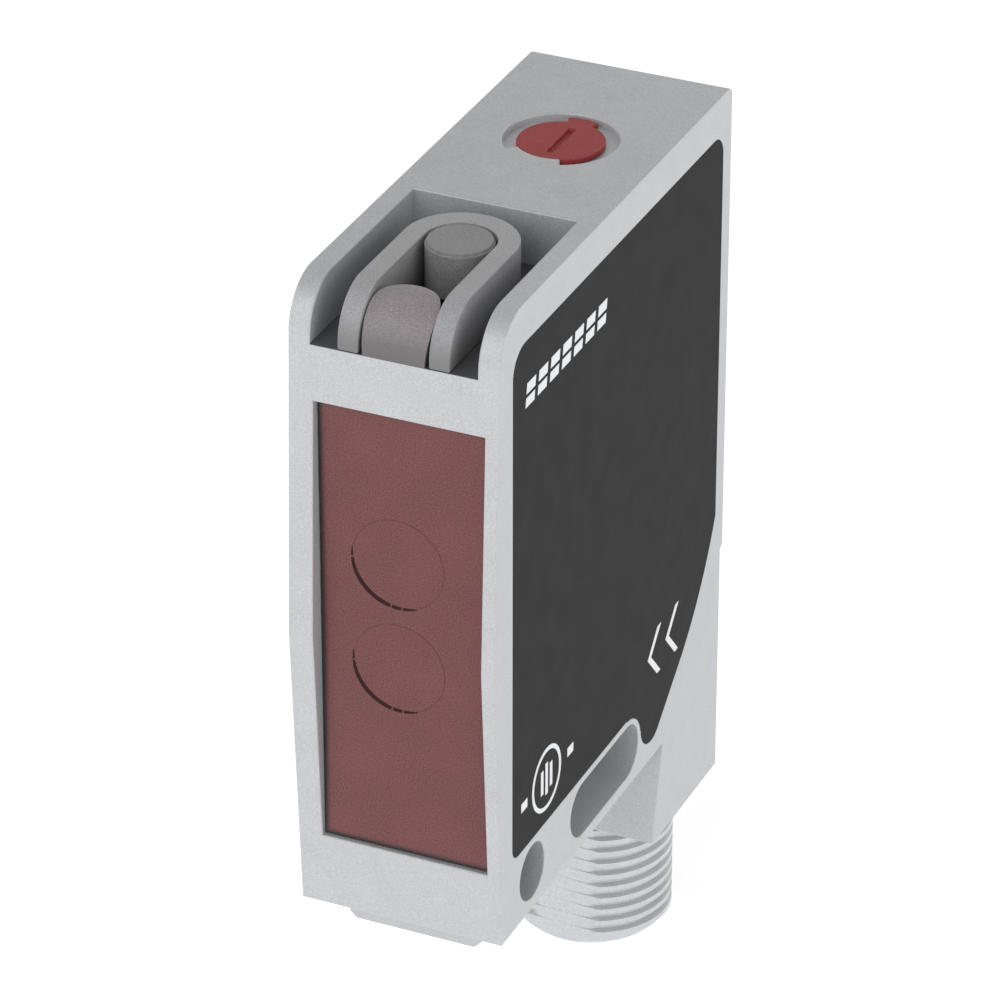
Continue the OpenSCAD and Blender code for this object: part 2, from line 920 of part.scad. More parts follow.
module board_components() {
    face_x = board_x + board_t;
    chip_y = board_front_y + 5;
    color(black_plastic)
        placed() {
            block([face_x, chip_y, optics_z - 7], [face_x + 1.2, chip_y + 7, optics_z]);
            block([face_x, chip_y, optics_z + 3], [face_x + 1.5, chip_y + 4, optics_z + 8]);
            for (i = [0:3])
                block([face_x, chip_y + 9.5, optics_z - 6 + 3 * i],
                    [face_x + 0.8, chip_y + 11.5, optics_z - 4.8 + 3 * i]);
        }
}

module board_screws() {
    color(steel_colour)
        placed()
            for (at = board_screws_at)
                translate([board_x + board_t, at[0], at[1]])
                    rotate([0, 90, 0])
                        board_screw();
}

// Pan-head screw with a cross slot, its head on +Z
module board_screw() {
    slot_w = 0.35;
    slot_h = 0.4;
    difference() {
        cylinder(r = board_screw_head_r, h = board_screw_head_h);
        for (turn = [0, 90])
            rotate([0, 0, turn])
                translate([-board_screw_r, -slot_w / 2, board_screw_head_h - slot_h])
                    cube([2 * board_screw_r, slot_w, slot_h + over]);
    }
    translate([0, 0, -board_screw_l])
        cylinder(r = board_screw_r, h = board_screw_l + 0.1);
}

module optics_link() {
    color(black_plastic)
        placed()
            block([link_x - link_t / 2, optics_board_rear_y, optics_z - link_h / 2],
                [link_x + link_t / 2, board_front_y, optics_z + link_h / 2]);
}

// Half section of the threaded barrel, drawn as radius and height
module barrel_section() {
    root_r = thread_r - thread_depth;
    thread_top_z = block_low_z - neck_h;
    groove_r = shank_r - 2 * seal_ring_r;
    polygon(concat(
        [
            [socket_r, barrel_low_z],
            [socket_r, barrel_top_z],
            [shank_r, barrel_top_z],
            [shank_r, seal_groove_z + seal_groove_h],
            [groove_r, seal_groove_z + seal_groove_h],
            [groove_r, seal_groove_z],
            [shank_r, seal_groove_z],
            [shank_r, block_low_z],
            [neck_r, block_low_z],
            [neck_r, thread_top_z]
        ],
        [for (i = [0:thread_turns - 1]) each thread_ridge(thread_top_z - (i + 0.5) * thread_pitch, root_r)],
        [
            [root_r, barrel_low_z + barrel_chamfer + root_r - thread_r],
            [thread_r - barrel_chamfer, barrel_low_z]
        ]
    ));
}

// Corners of one thread ridge, from its top to its bottom
function thread_ridge(z, root_r) = [
    [root_r, z + crest_w / 2 + flank_w],
    [thread_r, z + crest_w / 2],
    [thread_r, z - crest_w / 2],
    [root_r, z - crest_w / 2 - flank_w]
];

module plug_barrel() {
    color(housing_colour)
        placed()
            translate([0, plug_y, 0])
                difference() {
                    rotate_extrude()
                        barrel_section();
                    translate([-thread_r, -thread_r - over, barrel_low_z - over])
                        cube([2 * thread_r, thread_r + over - thread_flat, barrel_l + over]);
                }
}

module barrel_seal() {
    color(seal_colour)
        placed()
            translate([0, plug_y, seal_groove_z + seal_groove_h / 2])
                rotate_extrude()
                    translate([shank_r - seal_ring_r, 0])
                        circle(seal_ring_r, $fn = 32);
}

// Places of the contact pins about the plug axis
function pin_at(i) = [
    pin_circle / 2 * cos(45 + i * 360 / pin_count),
    pin_circle / 2 * sin(45 + i * 360 / pin_count)
];

module contact_insert() {
    color(black_plastic)
        placed()
            translate([0, plug_y, 0])
                difference() {
                    union() {
                        translate([0, 0, insert_low_z])
                            cylinder(r = socket_r - run_gap, h = insert_h);
                        intersection() {
                            translate([0, 0, pin_low_z])
                                cylinder(r = socket_r - run_gap, h = socket_depth);
                            translate([-key_w / 2, socket_r - key_h, pin_low_z])
                                cube([key_w, over, socket_depth]);
                        }
                    }
                    for (i = [0:pin_count - 1])
                        translate([pin_at(i)[0], pin_at(i)[1], insert_low_z - over])
                            cylinder(r = pin_r, h = insert_h + 2 * over, $fn = 32);
                }
}

module contact_pins() {
    color(gold_colour)
        placed()
            translate([0, plug_y, 0])
                for (i = [0:pin_count - 1])
                    translate([pin_at(i)[0], pin_at(i)[1], 0]) {
                        translate([0, 0, pin_low_z + pin_r])
                            cylinder(r = pin_r, h = pin_high_z - pin_low_z - pin_r, $fn = 32);
                        translate([0, 0, pin_low_z + pin_r])
                            sphere(r = pin_r, $fn = 32);
                    }
}

// Each wire rises from its pin and turns to the main board, those of the far pins higher up
module plug_wires() {
    color([0.55, 0.30, 0.15])
        placed()
            for (i = [0:pin_count - 1])
                translate([pin_at(i)[0], plug_y + pin_at(i)[1], 0]) {
                    bend_z = wire_low_z + (pin_at(i)[0] > 0 ? wire_step : 0);
                    translate([0, 0, pin_high_z])
                        cylinder(r = wire_r, h = bend_z - pin_high_z, $fn = 24);
                    translate([0, 0, bend_z])
                        sphere(r = wire_r, $fn = 24);
                    translate([0, 0, bend_z])
                        rotate([0, -90, 0])
                            cylinder(r = wire_r, h = pin_at(i)[0] - board_x - board_t, $fn = 24);
                }
}

housing();
side_cover();
side_gasket();
side_label();
front_window();
window_gasket();
lens_holder();
emitter_lens();
receiver_lens();
emitter_led();
receiver_diode();
optics_board();
button_guard();
teach_button();
button_seal();
switch_plunger();
tact_switch();
light_guide();
status_leds();
ui_board();
ui_link();
dial();
dial_seal();
pot_rotor();
pot_body();
pot_leads();
main_board();
board_components();
board_screws();
optics_link();
plug_barrel();
barrel_seal();
contact_insert();
contact_pins();
plug_wires();
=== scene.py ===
"""Finishes, refined pieces and studio of a photoelectric sensor with a screwed plug.

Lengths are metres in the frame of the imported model: X is the width, +Y points from
the optical window to the back, and +Z is up.
"""

import logging
import math
from dataclasses import dataclass, field, replace
from enum import Enum
from typing import Callable, Iterable, Mapping, Optional, Sequence, Union

import bmesh
import bpy
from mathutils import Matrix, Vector
from mathutils.bvhtree import BVHTree


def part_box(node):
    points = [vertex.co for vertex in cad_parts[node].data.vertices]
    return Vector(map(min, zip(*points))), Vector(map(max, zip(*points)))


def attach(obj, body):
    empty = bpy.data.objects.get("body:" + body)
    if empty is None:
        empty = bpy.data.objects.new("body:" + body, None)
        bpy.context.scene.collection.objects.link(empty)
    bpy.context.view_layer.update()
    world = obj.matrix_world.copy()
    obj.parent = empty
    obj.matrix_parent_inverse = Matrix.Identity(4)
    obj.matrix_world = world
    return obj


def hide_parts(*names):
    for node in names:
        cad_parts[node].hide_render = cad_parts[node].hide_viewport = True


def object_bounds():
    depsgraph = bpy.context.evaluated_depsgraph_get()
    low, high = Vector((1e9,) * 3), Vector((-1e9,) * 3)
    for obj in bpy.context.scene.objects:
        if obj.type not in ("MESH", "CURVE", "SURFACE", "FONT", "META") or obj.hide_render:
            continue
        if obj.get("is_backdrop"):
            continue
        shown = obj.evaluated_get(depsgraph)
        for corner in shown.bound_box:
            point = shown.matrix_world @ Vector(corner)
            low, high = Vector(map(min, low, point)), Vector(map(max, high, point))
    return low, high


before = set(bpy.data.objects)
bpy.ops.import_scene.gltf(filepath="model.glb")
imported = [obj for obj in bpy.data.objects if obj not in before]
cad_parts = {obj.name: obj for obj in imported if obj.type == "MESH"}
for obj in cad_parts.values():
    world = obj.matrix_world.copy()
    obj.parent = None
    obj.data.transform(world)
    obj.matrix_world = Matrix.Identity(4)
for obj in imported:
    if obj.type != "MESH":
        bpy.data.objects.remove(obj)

MM = 0.001
EASED_FROM_DEGREES = 28.0
LOG = logging.getLogger("sensor")

Colour = tuple[float, float, float]
Outline = list[tuple[float, float]]


class Body(Enum):
    """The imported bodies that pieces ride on."""

    SENSOR = "sensor_body"
    DIAL = "dial"
    BUTTON = "button"


class Slot(Enum):
    """The names of the record's slots for the new pieces."""

    HOUSING = "housing_metal"
    BARREL = "barrel_metal"
    LABEL = "label_film"
    WINDOW = "window_red"
    GUARD = "guard_grey"
    BUTTON = "button_grey"
    GUIDE = "guide_frosted"
    DIAL = "dial_red"


# ---------------------------------------------------------------- node graphs


class Field:
    """A socket that takes part in Python arithmetic; each step adds a Math node."""

    def __init__(self, graph: "Graph", socket: bpy.types.NodeSocket) -> None:
        """Wraps a socket.

        Args:
            graph: The graph that the socket's node is in.
            socket: The output socket.
        """
        self.graph = graph
        self.socket = socket

    def _math(self, operation: str, *others: "Value", swap: bool = False) -> "Field":
        """Adds a Math node on this field and the others.

        Args:
            operation: The Math node's operation.
            others: The other operands.
            swap: Whether the first other operand comes before this field.

        Returns:
            The node's result.
        """
        operands: list[Value] = [self, *others]
        if swap:
            operands[0], operands[1] = operands[1], operands[0]
        made = self.graph.node(
            self.graph.math_kind, {"operation": operation}, dict(enumerate(operands))
        )
        return Field(self.graph, made.outputs[0])

    def __add__(self, other: "Value") -> "Field":
        """Sum."""
        return self._math("ADD", other)

    __radd__ = __add__

    def __sub__(self, other: "Value") -> "Field":
        """Difference."""
        return self._math("SUBTRACT", other)

    def __rsub__(self, other: "Value") -> "Field":
        """Difference with this field taken away."""
        return self._math("SUBTRACT", other, swap=True)

    def __mul__(self, other: "Value") -> "Field":
        """Product."""
        return self._math("MULTIPLY", other)

    __rmul__ = __mul__

    def __truediv__(self, other: "Value") -> "Field":
        """Quotient."""
        return self._math("DIVIDE", other)

    def at_most(self, other: "Value") -> "Field":
        """The smaller of two values."""
        return self._math("MINIMUM", other)

    def magnitude(self) -> "Field":
        """This field without its sign."""
        return self._math("ABSOLUTE")

    def step(self, low: float, high: float) -> "Field":
        """A smooth step from 0 at low to 1 at high."""
        made = self.graph.node(
            "ShaderNodeMapRange",
            {"interpolation_type": "SMOOTHSTEP", "clamp": True},
            {"Value": self, "From Min": low, "From Max": high},
        )
        return Field(self.graph, made.outputs[0])


Value = Union[Field, float, int, Sequence[float]]


class Graph:
    """Adds nodes to one node tree."""

    math_kind = "ShaderNodeMath"

    def __init__(self, tree: bpy.types.NodeTree) -> None:
        """Wraps a node tree."""
        self.tree = tree

    def node(
        self,
        kind: str,
        settings: Optional[Mapping[str, object]] = None,
        inputs: Optional[Mapping[Union[str, int], Value]] = None,
    ) -> bpy.types.Node:
        """Adds a node.

        Args:
            kind: The node's type.
            settings: Its properties, set before its sockets.
            inputs: Values or links of its sockets, by identifier, name or index.

        Returns:
            The new node.
        """
        made = self.tree.nodes.new(kind)
        for key, value in (settings or {}).items():
            setattr(made, key, value)
        for key, value in (inputs or {}).items():
            socket = self._input(made, key)
            if isinstance(value, Field):
                self.tree.links.new(value.socket, socket)
            else:
                socket.default_value = value
        return made

    @staticmethod
    def _input(node: bpy.types.Node, key: Union[str, int]) -> bpy.types.NodeSocket:
        """Finds an input socket by index, identifier or name.

        Args:
            node: The node.
            key: The index, identifier or name.

        Returns:
            The socket.
        """
        if isinstance(key, int):
            return node.inputs[key]
        for socket in node.inputs:
            if socket.identifier == key:
                return socket
        return node.inputs[key]

    def field(self, node: bpy.types.Node, output: Union[str, int] = 0) -> Field:
        """Wraps an output of a node."""
        return Field(self, node.outputs[output])


class Paint(Graph):
    """The node graph of one material."""

    def __init__(self, name: str, display: Colour) -> None:
        """Starts an empty material.

        Args:
            name: The material's name.
            display: Its colour in a plain view.
        """
        self.material = bpy.data.materials.new(name)
        self.material.diffuse_color = (*display, 1.0)
        self.material.use_nodes = True
        super().__init__(self.material.node_tree)
        self.tree.nodes.clear()
        self.place = self.field(self.node("ShaderNodeTexCoord"), "Object")

    def mapped(self, scale: Sequence[float], turn: Sequence[float] = (0, 0, 0)) -> Field:
        """The piece's own coordinates, stretched and turned."""
        made = self.node(
            "ShaderNodeMapping",
            inputs={"Vector": self.place, "Scale": scale, "Rotation": turn},
        )
        return self.field(made)

    def noise(
        self, size: float, detail: float = 2.0, place: Optional[Field] = None
    ) -> Field:
        """Soft noise from 0 to 1.

        Args:
            size: The size of one patch, in metres.
            detail: How many finer layers it has.
            place: The coordinates that it reads.

        Returns:
            The noise.
        """
        made = self.node(
            "ShaderNodeTexNoise",
            inputs={"Vector": place or self.place, "Scale": 1 / size, "Detail": detail},
        )
        return self.field(made)

    def cells(self, size: float) -> Field:
        """Distance to the nearest of many scattered points.

        Args:
            size: The spacing of the points, in metres.

        Returns:
            The distance, in spacings.
        """
        made = self.node(
            "ShaderNodeTexVoronoi", inputs={"Vector": self.place, "Scale": 1 / size}
        )
        return self.field(made, "Distance")

    def axis(self, name: str) -> Field:
        """One coordinate of the piece."""
        return self.field(self.node("ShaderNodeSeparateXYZ", inputs={0: self.place}), name)

    def mixed(self, share: Value, low: Value, high: Value) -> Field:
        """A colour between two colours.

        Args:
            share: How much of the second colour there is.
            low: The first colour.
            high: The second colour.

        Returns:
            The mixed colour.
        """
        made = self.node(
            "ShaderNodeMix",
            {"data_type": "RGBA", "clamp_factor": True},
            {"Factor_Float": share, "A_Color": _rgba(low), "B_Color": _rgba(high)},
        )
        return self.field(made, 2)

    def bumped(self, height: Field, depth: float) -> Field:
        """A normal that follows a height.

        Args:
            height: The height, from 0 to 1.
            depth: What a height of 1 stands for, in metres.

        Returns:
            The normal.
        """
        made = self.node(
            "ShaderNodeBump",
            inputs={"Height": height, "Distance": depth, "Strength": 1.0},
        )
        return self.field(made)

    def shaded(self, **inputs: Value) -> bpy.types.Material:
        """Closes the graph with a Principled shader.

        Args:
            inputs: Its sockets, with spaces written as underscores.

        Returns:
            The finished material.
        """
        named = {key.replace("_", " "): value for key, value in inputs.items()}
        shader = self.node("ShaderNodeBsdfPrincipled", inputs=named)
        output = self.node("ShaderNodeOutputMaterial")
        self.tree.links.new(shader.outputs[0], output.inputs["Surface"])
        return self.material


def _rgba(colour: Value) -> Value:
    """Gives a plain colour its fourth number."""
    return colour if isinstance(colour, Field) else (*colour, 1.0)


def _shade(colour: Colour, factor: float) -> Colour:
    """A lighter or darker version of a colour."""
    return tuple(min(1.0, part * factor) for part in colour)  # type: ignore[return-value]


# ---------------------------------------------------------------- finishes


@dataclass(frozen=True)
class Moulded:
    """A moulded surface: fine grain over soft patches of lighter and darker tone."""

    name: str
    colour: Colour
    roughness: float = 0.5
    roughness_spread: float = 0.10
    tone_spread: float = 0.07
    patch: float = 2.4 * MM
    grain: float = 0.11 * MM
    grain_depth: float = 0.004 * MM
    metallic: float = 0.0
    specular: float = 0.5
    coat: float = 0.0

    def tone(self, paint: Paint) -> Field:
        """The colour over the surface."""
        share = paint.noise(self.patch) * 0.15 + paint.noise(self.grain) * 0.85
        low = _shade(self.colour, 1 - self.tone_spread)
        high = _shade(self.colour, 1 + self.tone_spread)
        return paint.mixed(share.step(0.25, 0.75), low, high)

    def relief(self, paint: Paint) -> Field:
        """The height over the surface, from 0 to 1."""
        return paint.noise(self.grain, 3.0)

    def dullness(self, paint: Paint) -> Field:
        """The roughness over the surface."""
        spread = paint.noise(self.patch * 0.4) - 0.5
        return spread * self.roughness_spread + self.roughness

    def material(self) -> bpy.types.Material:
        """Builds the material.

        Returns:
            The finished material.
        """
        paint = Paint(self.name, self.colour)
        return paint.shaded(
            Base_Color=self.tone(paint),
            Roughness=self.dullness(paint),
            Metallic=self.metallic,
            Specular_IOR_Level=self.specular,
            Coat_Weight=self.coat,
            Coat_Roughness=0.12,
            Normal=paint.bumped(self.relief(paint), self.grain_depth),
        )


@dataclass(frozen=True)
class CastAlloy(Moulded):
    """Blasted die-cast alloy: sandy grain, a few pores, and painted shade that darkens the pocket floor.
    """

    pore: float = 0.55 * MM
    # Where the pocket floor lies, and how dark its painted shade is.
    floor_z: float = 0.0
    floor_half: float = 0.0
    floor_end: float = 0.0
    pocket_shade_tone: float = 0.2

    def tone(self, paint: Paint) -> Field:
        """The colour over the surface, with pores a little darker and painted shade on the pocket floor.
        """
        base = super().tone(paint)
        pores = 1 - paint.cells(self.pore).step(0.03, 0.16)
        alloy = paint.mixed(pores * 0.10, base, _shade(self.colour, 0.55))
        # Painted shade: darkens the pocket floor, flat at floor_z, inside floor_half and in front of
        # floor_end.
        level = 1 - (paint.axis("Z") - self.floor_z).magnitude().step(0.02 * MM, 0.05 * MM)
        inside = 1 - paint.axis("X").magnitude().step(self.floor_half - 0.05 * MM, self.floor_half)
        ahead = 1 - (paint.axis("Y") - self.floor_end).step(0.0, 0.05 * MM)
        return paint.mixed(level * inside * ahead, alloy, _shade(self.colour, self.pocket_shade_tone))

    def relief(self, paint: Paint) -> Field:
        """Sandy grain with shallow pores."""
        sand = paint.noise(self.grain, 4.0)
        return sand * 0.8 + paint.cells(self.pore).step(0.0, 0.2) * 0.2


@dataclass(frozen=True)
class TurnedMetal(Moulded):
    """Metal turned about an upright axis, with fine rings along it."""

    ring: float = 0.07 * MM

    def relief(self, paint: Paint) -> Field:
        """Turning marks: noise that changes fast along Z and hardly around it."""
        rings = paint.noise(self.ring, 2.0, paint.mapped((0.02, 0.02, 1.0)))
        return rings * 0.6 + paint.noise(self.grain, 2.0) * 0.4


@dataclass(frozen=True)
class TintedPane(Moulded):
    """Deep red optical plastic with a faint cloud under its polished face and a painted shadow along its
    left and lower edges.
    """

    cloud: float = 5 * MM
    # Where the painted edge shadow starts, and how far it reaches.
    left: float = 0.0
    foot: float = 0.0
    shadow_w: float = 0.55 * MM

    def tone(self, paint: Paint) -> Field:
        """Grained red with a painted shadow along its left and lower edges, where the recess shades them.
        """
        cloud = paint.noise(self.cloud, 1.0) * 0.12 + paint.noise(self.grain, 2.0) * 0.88
        red = paint.mixed(
            cloud.step(0.3, 0.7),
            _shade(self.colour, 1 - self.tone_spread),
            _shade(self.colour, 1 + self.tone_spread),
        )
        # Painted shadow: near black within shadow_w of the pane's left and lower edges.
        inward = (paint.axis("X") - self.left).at_most(paint.axis("Z") - self.foot)
        return paint.mixed(inward.step(0.0, self.shadow_w), (0.012, 0.009, 0.009), red)


@dataclass(frozen=True)
class DeepMoulding(Moulded):
    """A moulding in a pocket, with painted shade that darkens it towards its foot."""

    foot: float = 0.0
    top: float = 1.0
    foot_shade_tone: float = 0.5

    def tone(self, paint: Paint) -> Field:
        """The colour over the surface, with painted shade from the dark foot to the top."""
        rise = (self.top - self.foot) * 0.85
        height = (paint.axis("Z") - self.foot).step(0.0, rise)
        dark = _shade(self.colour, self.foot_shade_tone)
        return paint.mixed(height, dark, super().tone(paint))


@dataclass(frozen=True)
class BoardLaminate(Moulded):
    """Circuit board: green lacquer over copper tracks."""

    track: float = 0.8 * MM

    def tone(self, paint: Paint) -> Field:
        """Green, lighter where a track runs under the lacquer."""
        weave = paint.node(
            "ShaderNodeTexBrick",
            {"offset": 0.35},
            {
                "Vector": paint.mapped((1, 1, 1), (0.0, math.pi / 2, 0.0)),
                "Scale": 1 / (4 * self.track),
                "Mortar Size": 0.06,
            },
        )
        tracks = paint.field(weave, "Fac")
        return paint.mixed(tracks, super().tone(paint), _shade(self.colour, 1.9))


@dataclass(frozen=True)
class ClearOptic(Moulded):
    """Clear lens plastic."""

    def material(self) -> bpy.types.Material:
        """Builds the material, polished and with hardly any grain."""
        paint = Paint(self.name, self.colour)
        return paint.shaded(
            Base_Color=self.tone(paint),
            Roughness=self.dullness(paint),
            Transmission_Weight=1.0,
            IOR=1.49,
        )


@dataclass(frozen=True)
class Finishes:
    """Every finish of the sensor."""

    housing: Moulded = CastAlloy(
        "cast_alloy", (0.555, 0.564, 0.582), roughness=0.44, metallic=0.30,
        tone_spread=0.13, grain=0.10 * MM, grain_depth=0.006 * MM,
    )
    barrel: Moulded = TurnedMetal(
        "turned_barrel", (0.64, 0.65, 0.67), roughness=0.38, metallic=0.45,
        tone_spread=0.10, grain_depth=0.004 * MM,
    )
    steel: Moulded = Moulded(
        "pressed_steel", (0.55, 0.56, 0.58), roughness=0.35, metallic=0.9
    )
    rubber: Moulded = Moulded("seal_rubber", (0.025, 0.025, 0.027), roughness=0.75)
    label: Moulded = Moulded(
        "label_film", (0.016, 0.016, 0.0165), roughness=0.62, specular=0.15, tone_spread=0.10,
        patch=6 * MM, grain=0.09 * MM, grain_depth=0.002 * MM,
    )
    ink: Moulded = Moulded(
        "white_print", (0.86, 0.87, 0.89), roughness=0.55, tone_spread=0.03,
        grain_depth=0.001 * MM,
    )
    pane: Moulded = TintedPane(
        "window_tint", (0.165, 0.048, 0.049), roughness=0.32, tone_spread=0.42,
        grain=0.10 * MM, grain_depth=0.002 * MM, specular=0.35, coat=0.15,
    )
    # Painted shadow: dark crescents inside each lens rim, where the lens's edge shades its bore.
    rim: Moulded = Moulded(
        "lens_rim_shadow", (0.030, 0.004, 0.005), roughness=0.5, specular=0.2, grain_depth=0.001 * MM
    )
    rim_line: Moulded = Moulded(
        "lens_rim_line", (0.142, 0.039, 0.040), roughness=0.4, specular=0.35, grain_depth=0.001 * MM
    )
    black: Moulded = Moulded("black_moulding", (0.022, 0.022, 0.024), roughness=0.5)
    lens: Moulded = ClearOptic("lens_clear", (0.94, 0.95, 0.96), roughness=0.06)
    emitter: Moulded = Moulded("emitter_red", (0.70, 0.10, 0.08), roughness=0.2)
    diode: Moulded = Moulded("diode_dark", (0.02, 0.02, 0.035), roughness=0.2)
    board: Moulded = BoardLaminate("board_green", (0.02, 0.14, 0.06), roughness=0.35)
    guard: Moulded = DeepMoulding(
        "guard_grey", (0.40, 0.401, 0.41), roughness=0.5, tone_spread=0.20,
        grain_depth=0.005 * MM,
    )
    button: Moulded = Moulded(
        "button_grey", (0.27, 0.271, 0.273), roughness=0.46, tone_spread=0.25,
        grain_depth=0.004 * MM,
    )
    guide: Moulded = DeepMoulding(
        "guide_frosted", (0.30, 0.268, 0.276), roughness=0.42, tone_spread=0.26,
        grain_depth=0.003 * MM, coat=0.15,
    )
    lamp: Moulded = Moulded("lamp_yellow", (0.80, 0.70, 0.25), roughness=0.25)
    dial: Moulded = Moulded(
        "dial_red", (0.34, 0.048, 0.045), roughness=0.45, tone_spread=0.18,
        grain_depth=0.003 * MM, specular=0.25,
    )
    white: Moulded = Moulded("white_moulding", (0.78, 0.78, 0.74), roughness=0.5)
    pot: Moulded = Moulded("pot_blue", (0.03, 0.06, 0.25), roughness=0.4)
    tin: Moulded = Moulded("tinned_lead", (0.62, 0.62, 0.60), roughness=0.3, metallic=1.0)
    gold: Moulded = TurnedMetal(
        "gold_contact", (0.80, 0.55, 0.20), roughness=0.25, metallic=1.0
    )
    wire: Moulded = Moulded("wire_sleeve", (0.16, 0.06, 0.025), roughness=0.45)


class Stock:
    """Keeps one material for each finish."""

    def __init__(self) -> None:
        """Starts with no material."""
        self._made: dict[str, bpy.types.Material] = {}

    def of(self, finish: Moulded) -> bpy.types.Material:
        """Gives the material of a finish, built on first use.

        Args:
            finish: The finish.

        Returns:
            Its material.
        """
        if finish.name not in self._made:
            self._made[finish.name] = finish.material()
        return self._made[finish.name]


# ---------------------------------------------------------------- mesh work


@dataclass
class Workshop:
    """Makes pieces and hands them to the frame."""

    finishes: Finishes = field(default_factory=Finishes)
    stock: Stock = field(default_factory=Stock)

    def node_copy(self, node: str) -> bmesh.types.BMesh:
        """Copies a CAD node's mesh with its corners merged and flat faces joined.

        Args:
            node: The node's name.

        Returns:
            The copy, for the caller to free.
        """
        mesh = bmesh.new()
        mesh.from_mesh(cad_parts[node].data)
        bmesh.ops.remove_doubles(mesh, verts=mesh.verts, dist=0.0005 * MM)
        bmesh.ops.dissolve_limit(
            mesh, angle_limit=math.radians(0.4), verts=mesh.verts, edges=mesh.edges
        )
        return mesh

    def piece(self, name: str, mesh: bmesh.types.BMesh) -> bpy.types.Object:
        """Makes an object of a mesh and frees the mesh.

        Args:
            name: The object's name.
            mesh: Its mesh.

        Returns:
            The object, linked to the scene.
        """
        data = bpy.data.meshes.new(name)
        mesh.to_mesh(data)
        mesh.free()
        made = bpy.data.objects.new(name, data)
        bpy.context.scene.collection.objects.link(made)
        return made

    def settled(self, piece: bpy.types.Object) -> bpy.types.Object:
        """Turns a piece's modifiers into its plain mesh.

        Args:
            piece: The piece.

        Returns:
            The same piece with no modifier.
        """
        bpy.context.view_layer.update()
        graph = bpy.context.evaluated_depsgraph_get()
        data = bpy.data.meshes.new_from_object(piece.evaluated_get(graph))
        piece.modifiers.clear()
        old, piece.data = piece.data, data
        data.name = piece.name
        bpy.data.meshes.remove(old)
        return piece

    def eased(
        self, piece: bpy.types.Object, width: float, segments: int = 3
    ) -> bpy.types.Object:
        """Rounds a piece's sharp edges and shades it smooth.

        Args:
            piece: The piece.
            width: How far the rounding reaches from an edge.
            segments: Faces across the rounding.

        Returns:
            The piece, with a plain mesh.
        """
        bevel = piece.modifiers.new("ease", "BEVEL")
        bevel.width, bevel.segments = width, segments
        bevel.limit_method = "ANGLE"
        bevel.angle_limit = math.radians(EASED_FROM_DEGREES)
        bevel.miter_outer = "MITER_ARC"
        return self.smoothed(self.settled(piece))

    def smoothed(self, piece: bpy.types.Object, angle: float = 40.0) -> bpy.types.Object:
        """Shades a piece smooth across its gentle edges, with flat faces kept flat.

        Args:
            piece: The piece.
            angle: Edges sharper than this many degrees stay sharp.

        Returns:
            The piece, with a plain mesh.
        """
        piece.data.polygons.foreach_set("use_smooth", [True] * len(piece.data.polygons))
        piece.data.set_sharp_from_angle(angle=math.radians(angle))
        weighted = piece.modifiers.new("weigh", "WEIGHTED_NORMAL")
        weighted.keep_sharp = True
        return self.settled(piece)

    def handed_over(
        self,
        piece: bpy.types.Object,
        finish: Moulded,
        body: Body,
        slot: Slot,
        replaces: Iterable[str] = (),
    ) -> bpy.types.Object:
        """Dresses a piece and ties it to the frame.

        Args:
            piece: The piece.
            finish: Its finish.
            body: The body that it rides on.
            slot: The record's slot of its finish; not used.
            replaces: The CAD nodes that it stands for.

        Returns:
            The piece.
        """
        piece.data.materials.clear()
        piece.data.materials.append(self.stock.of(finish))
        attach(piece, body.value)
        for node in replaces:
            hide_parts(node)
        LOG.info("%s: %d faces on %s", piece.name, len(piece.data.polygons), body.value)
        return piece

    def carried_over(self, node: str, finish: Moulded) -> None:
        """Dresses a CAD node whose shape stays.

        Args:
            node: The node's name.
            finish: Its finish.
        """
        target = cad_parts[node]
        target.data.materials.clear()
        target.data.materials.append(self.stock.of(finish))
        LOG.info("%s: kept, in %s", node, finish.name)

    def lathe(self, profile: Outline, centre: Vector, steps: int = 96) -> bmesh.types.BMesh:
        """Turns a closed profile about an upright axis.

        Args:
            profile: Radius and height of each corner, around the section.
            centre: A point on the axis.
            steps: Faces around.

        Returns:
            The turned mesh.
        """
        mesh = bmesh.new()
        rings = [
            [
                mesh.verts.new(
                    (
                        centre.x + r * math.cos(2 * math.pi * i / steps),
                        centre.y + r * math.sin(2 * math.pi * i / steps),
                        z,
                    )
                )
                for i in range(steps)
            ]
            for r, z in profile
        ]
        for one, two in zip(rings, rings[1:] + rings[:1]):
            for i in range(steps):
                j = (i + 1) % steps
                mesh.faces.new((one[i], one[j], two[j], two[i]))
        bmesh.ops.recalc_face_normals(mesh, faces=mesh.faces)
        return mesh

    def plate(
        self, outlines: Iterable[Outline], lift: Callable[[float, float, float], Vector],
        thickness: float,
    ) -> bmesh.types.BMesh:
        """Raises flat outlines to thin plates.

        Args:
            outlines: Each plate's corners, around its edge.
            lift: Places a point given by its two flat coordinates and its height.
            thickness: The plates' thickness.

        Returns:
            The plates in one mesh.
        """
        mesh = bmesh.new()
        for outline in outlines:
            low = [mesh.verts.new(lift(a, b, 0.0)) for a, b in outline]
            high = [mesh.verts.new(lift(a, b, thickness)) for a, b in outline]
            mesh.faces.new(low[::-1])
            mesh.faces.new(high)
            for i, corner in enumerate(low):
                j = (i + 1) % len(low)
                mesh.faces.new((corner, low[j], high[j], high[i]))
        bmesh.ops.recalc_face_normals(mesh, faces=mesh.faces)
        return mesh


# ---------------------------------------------------------------- housing


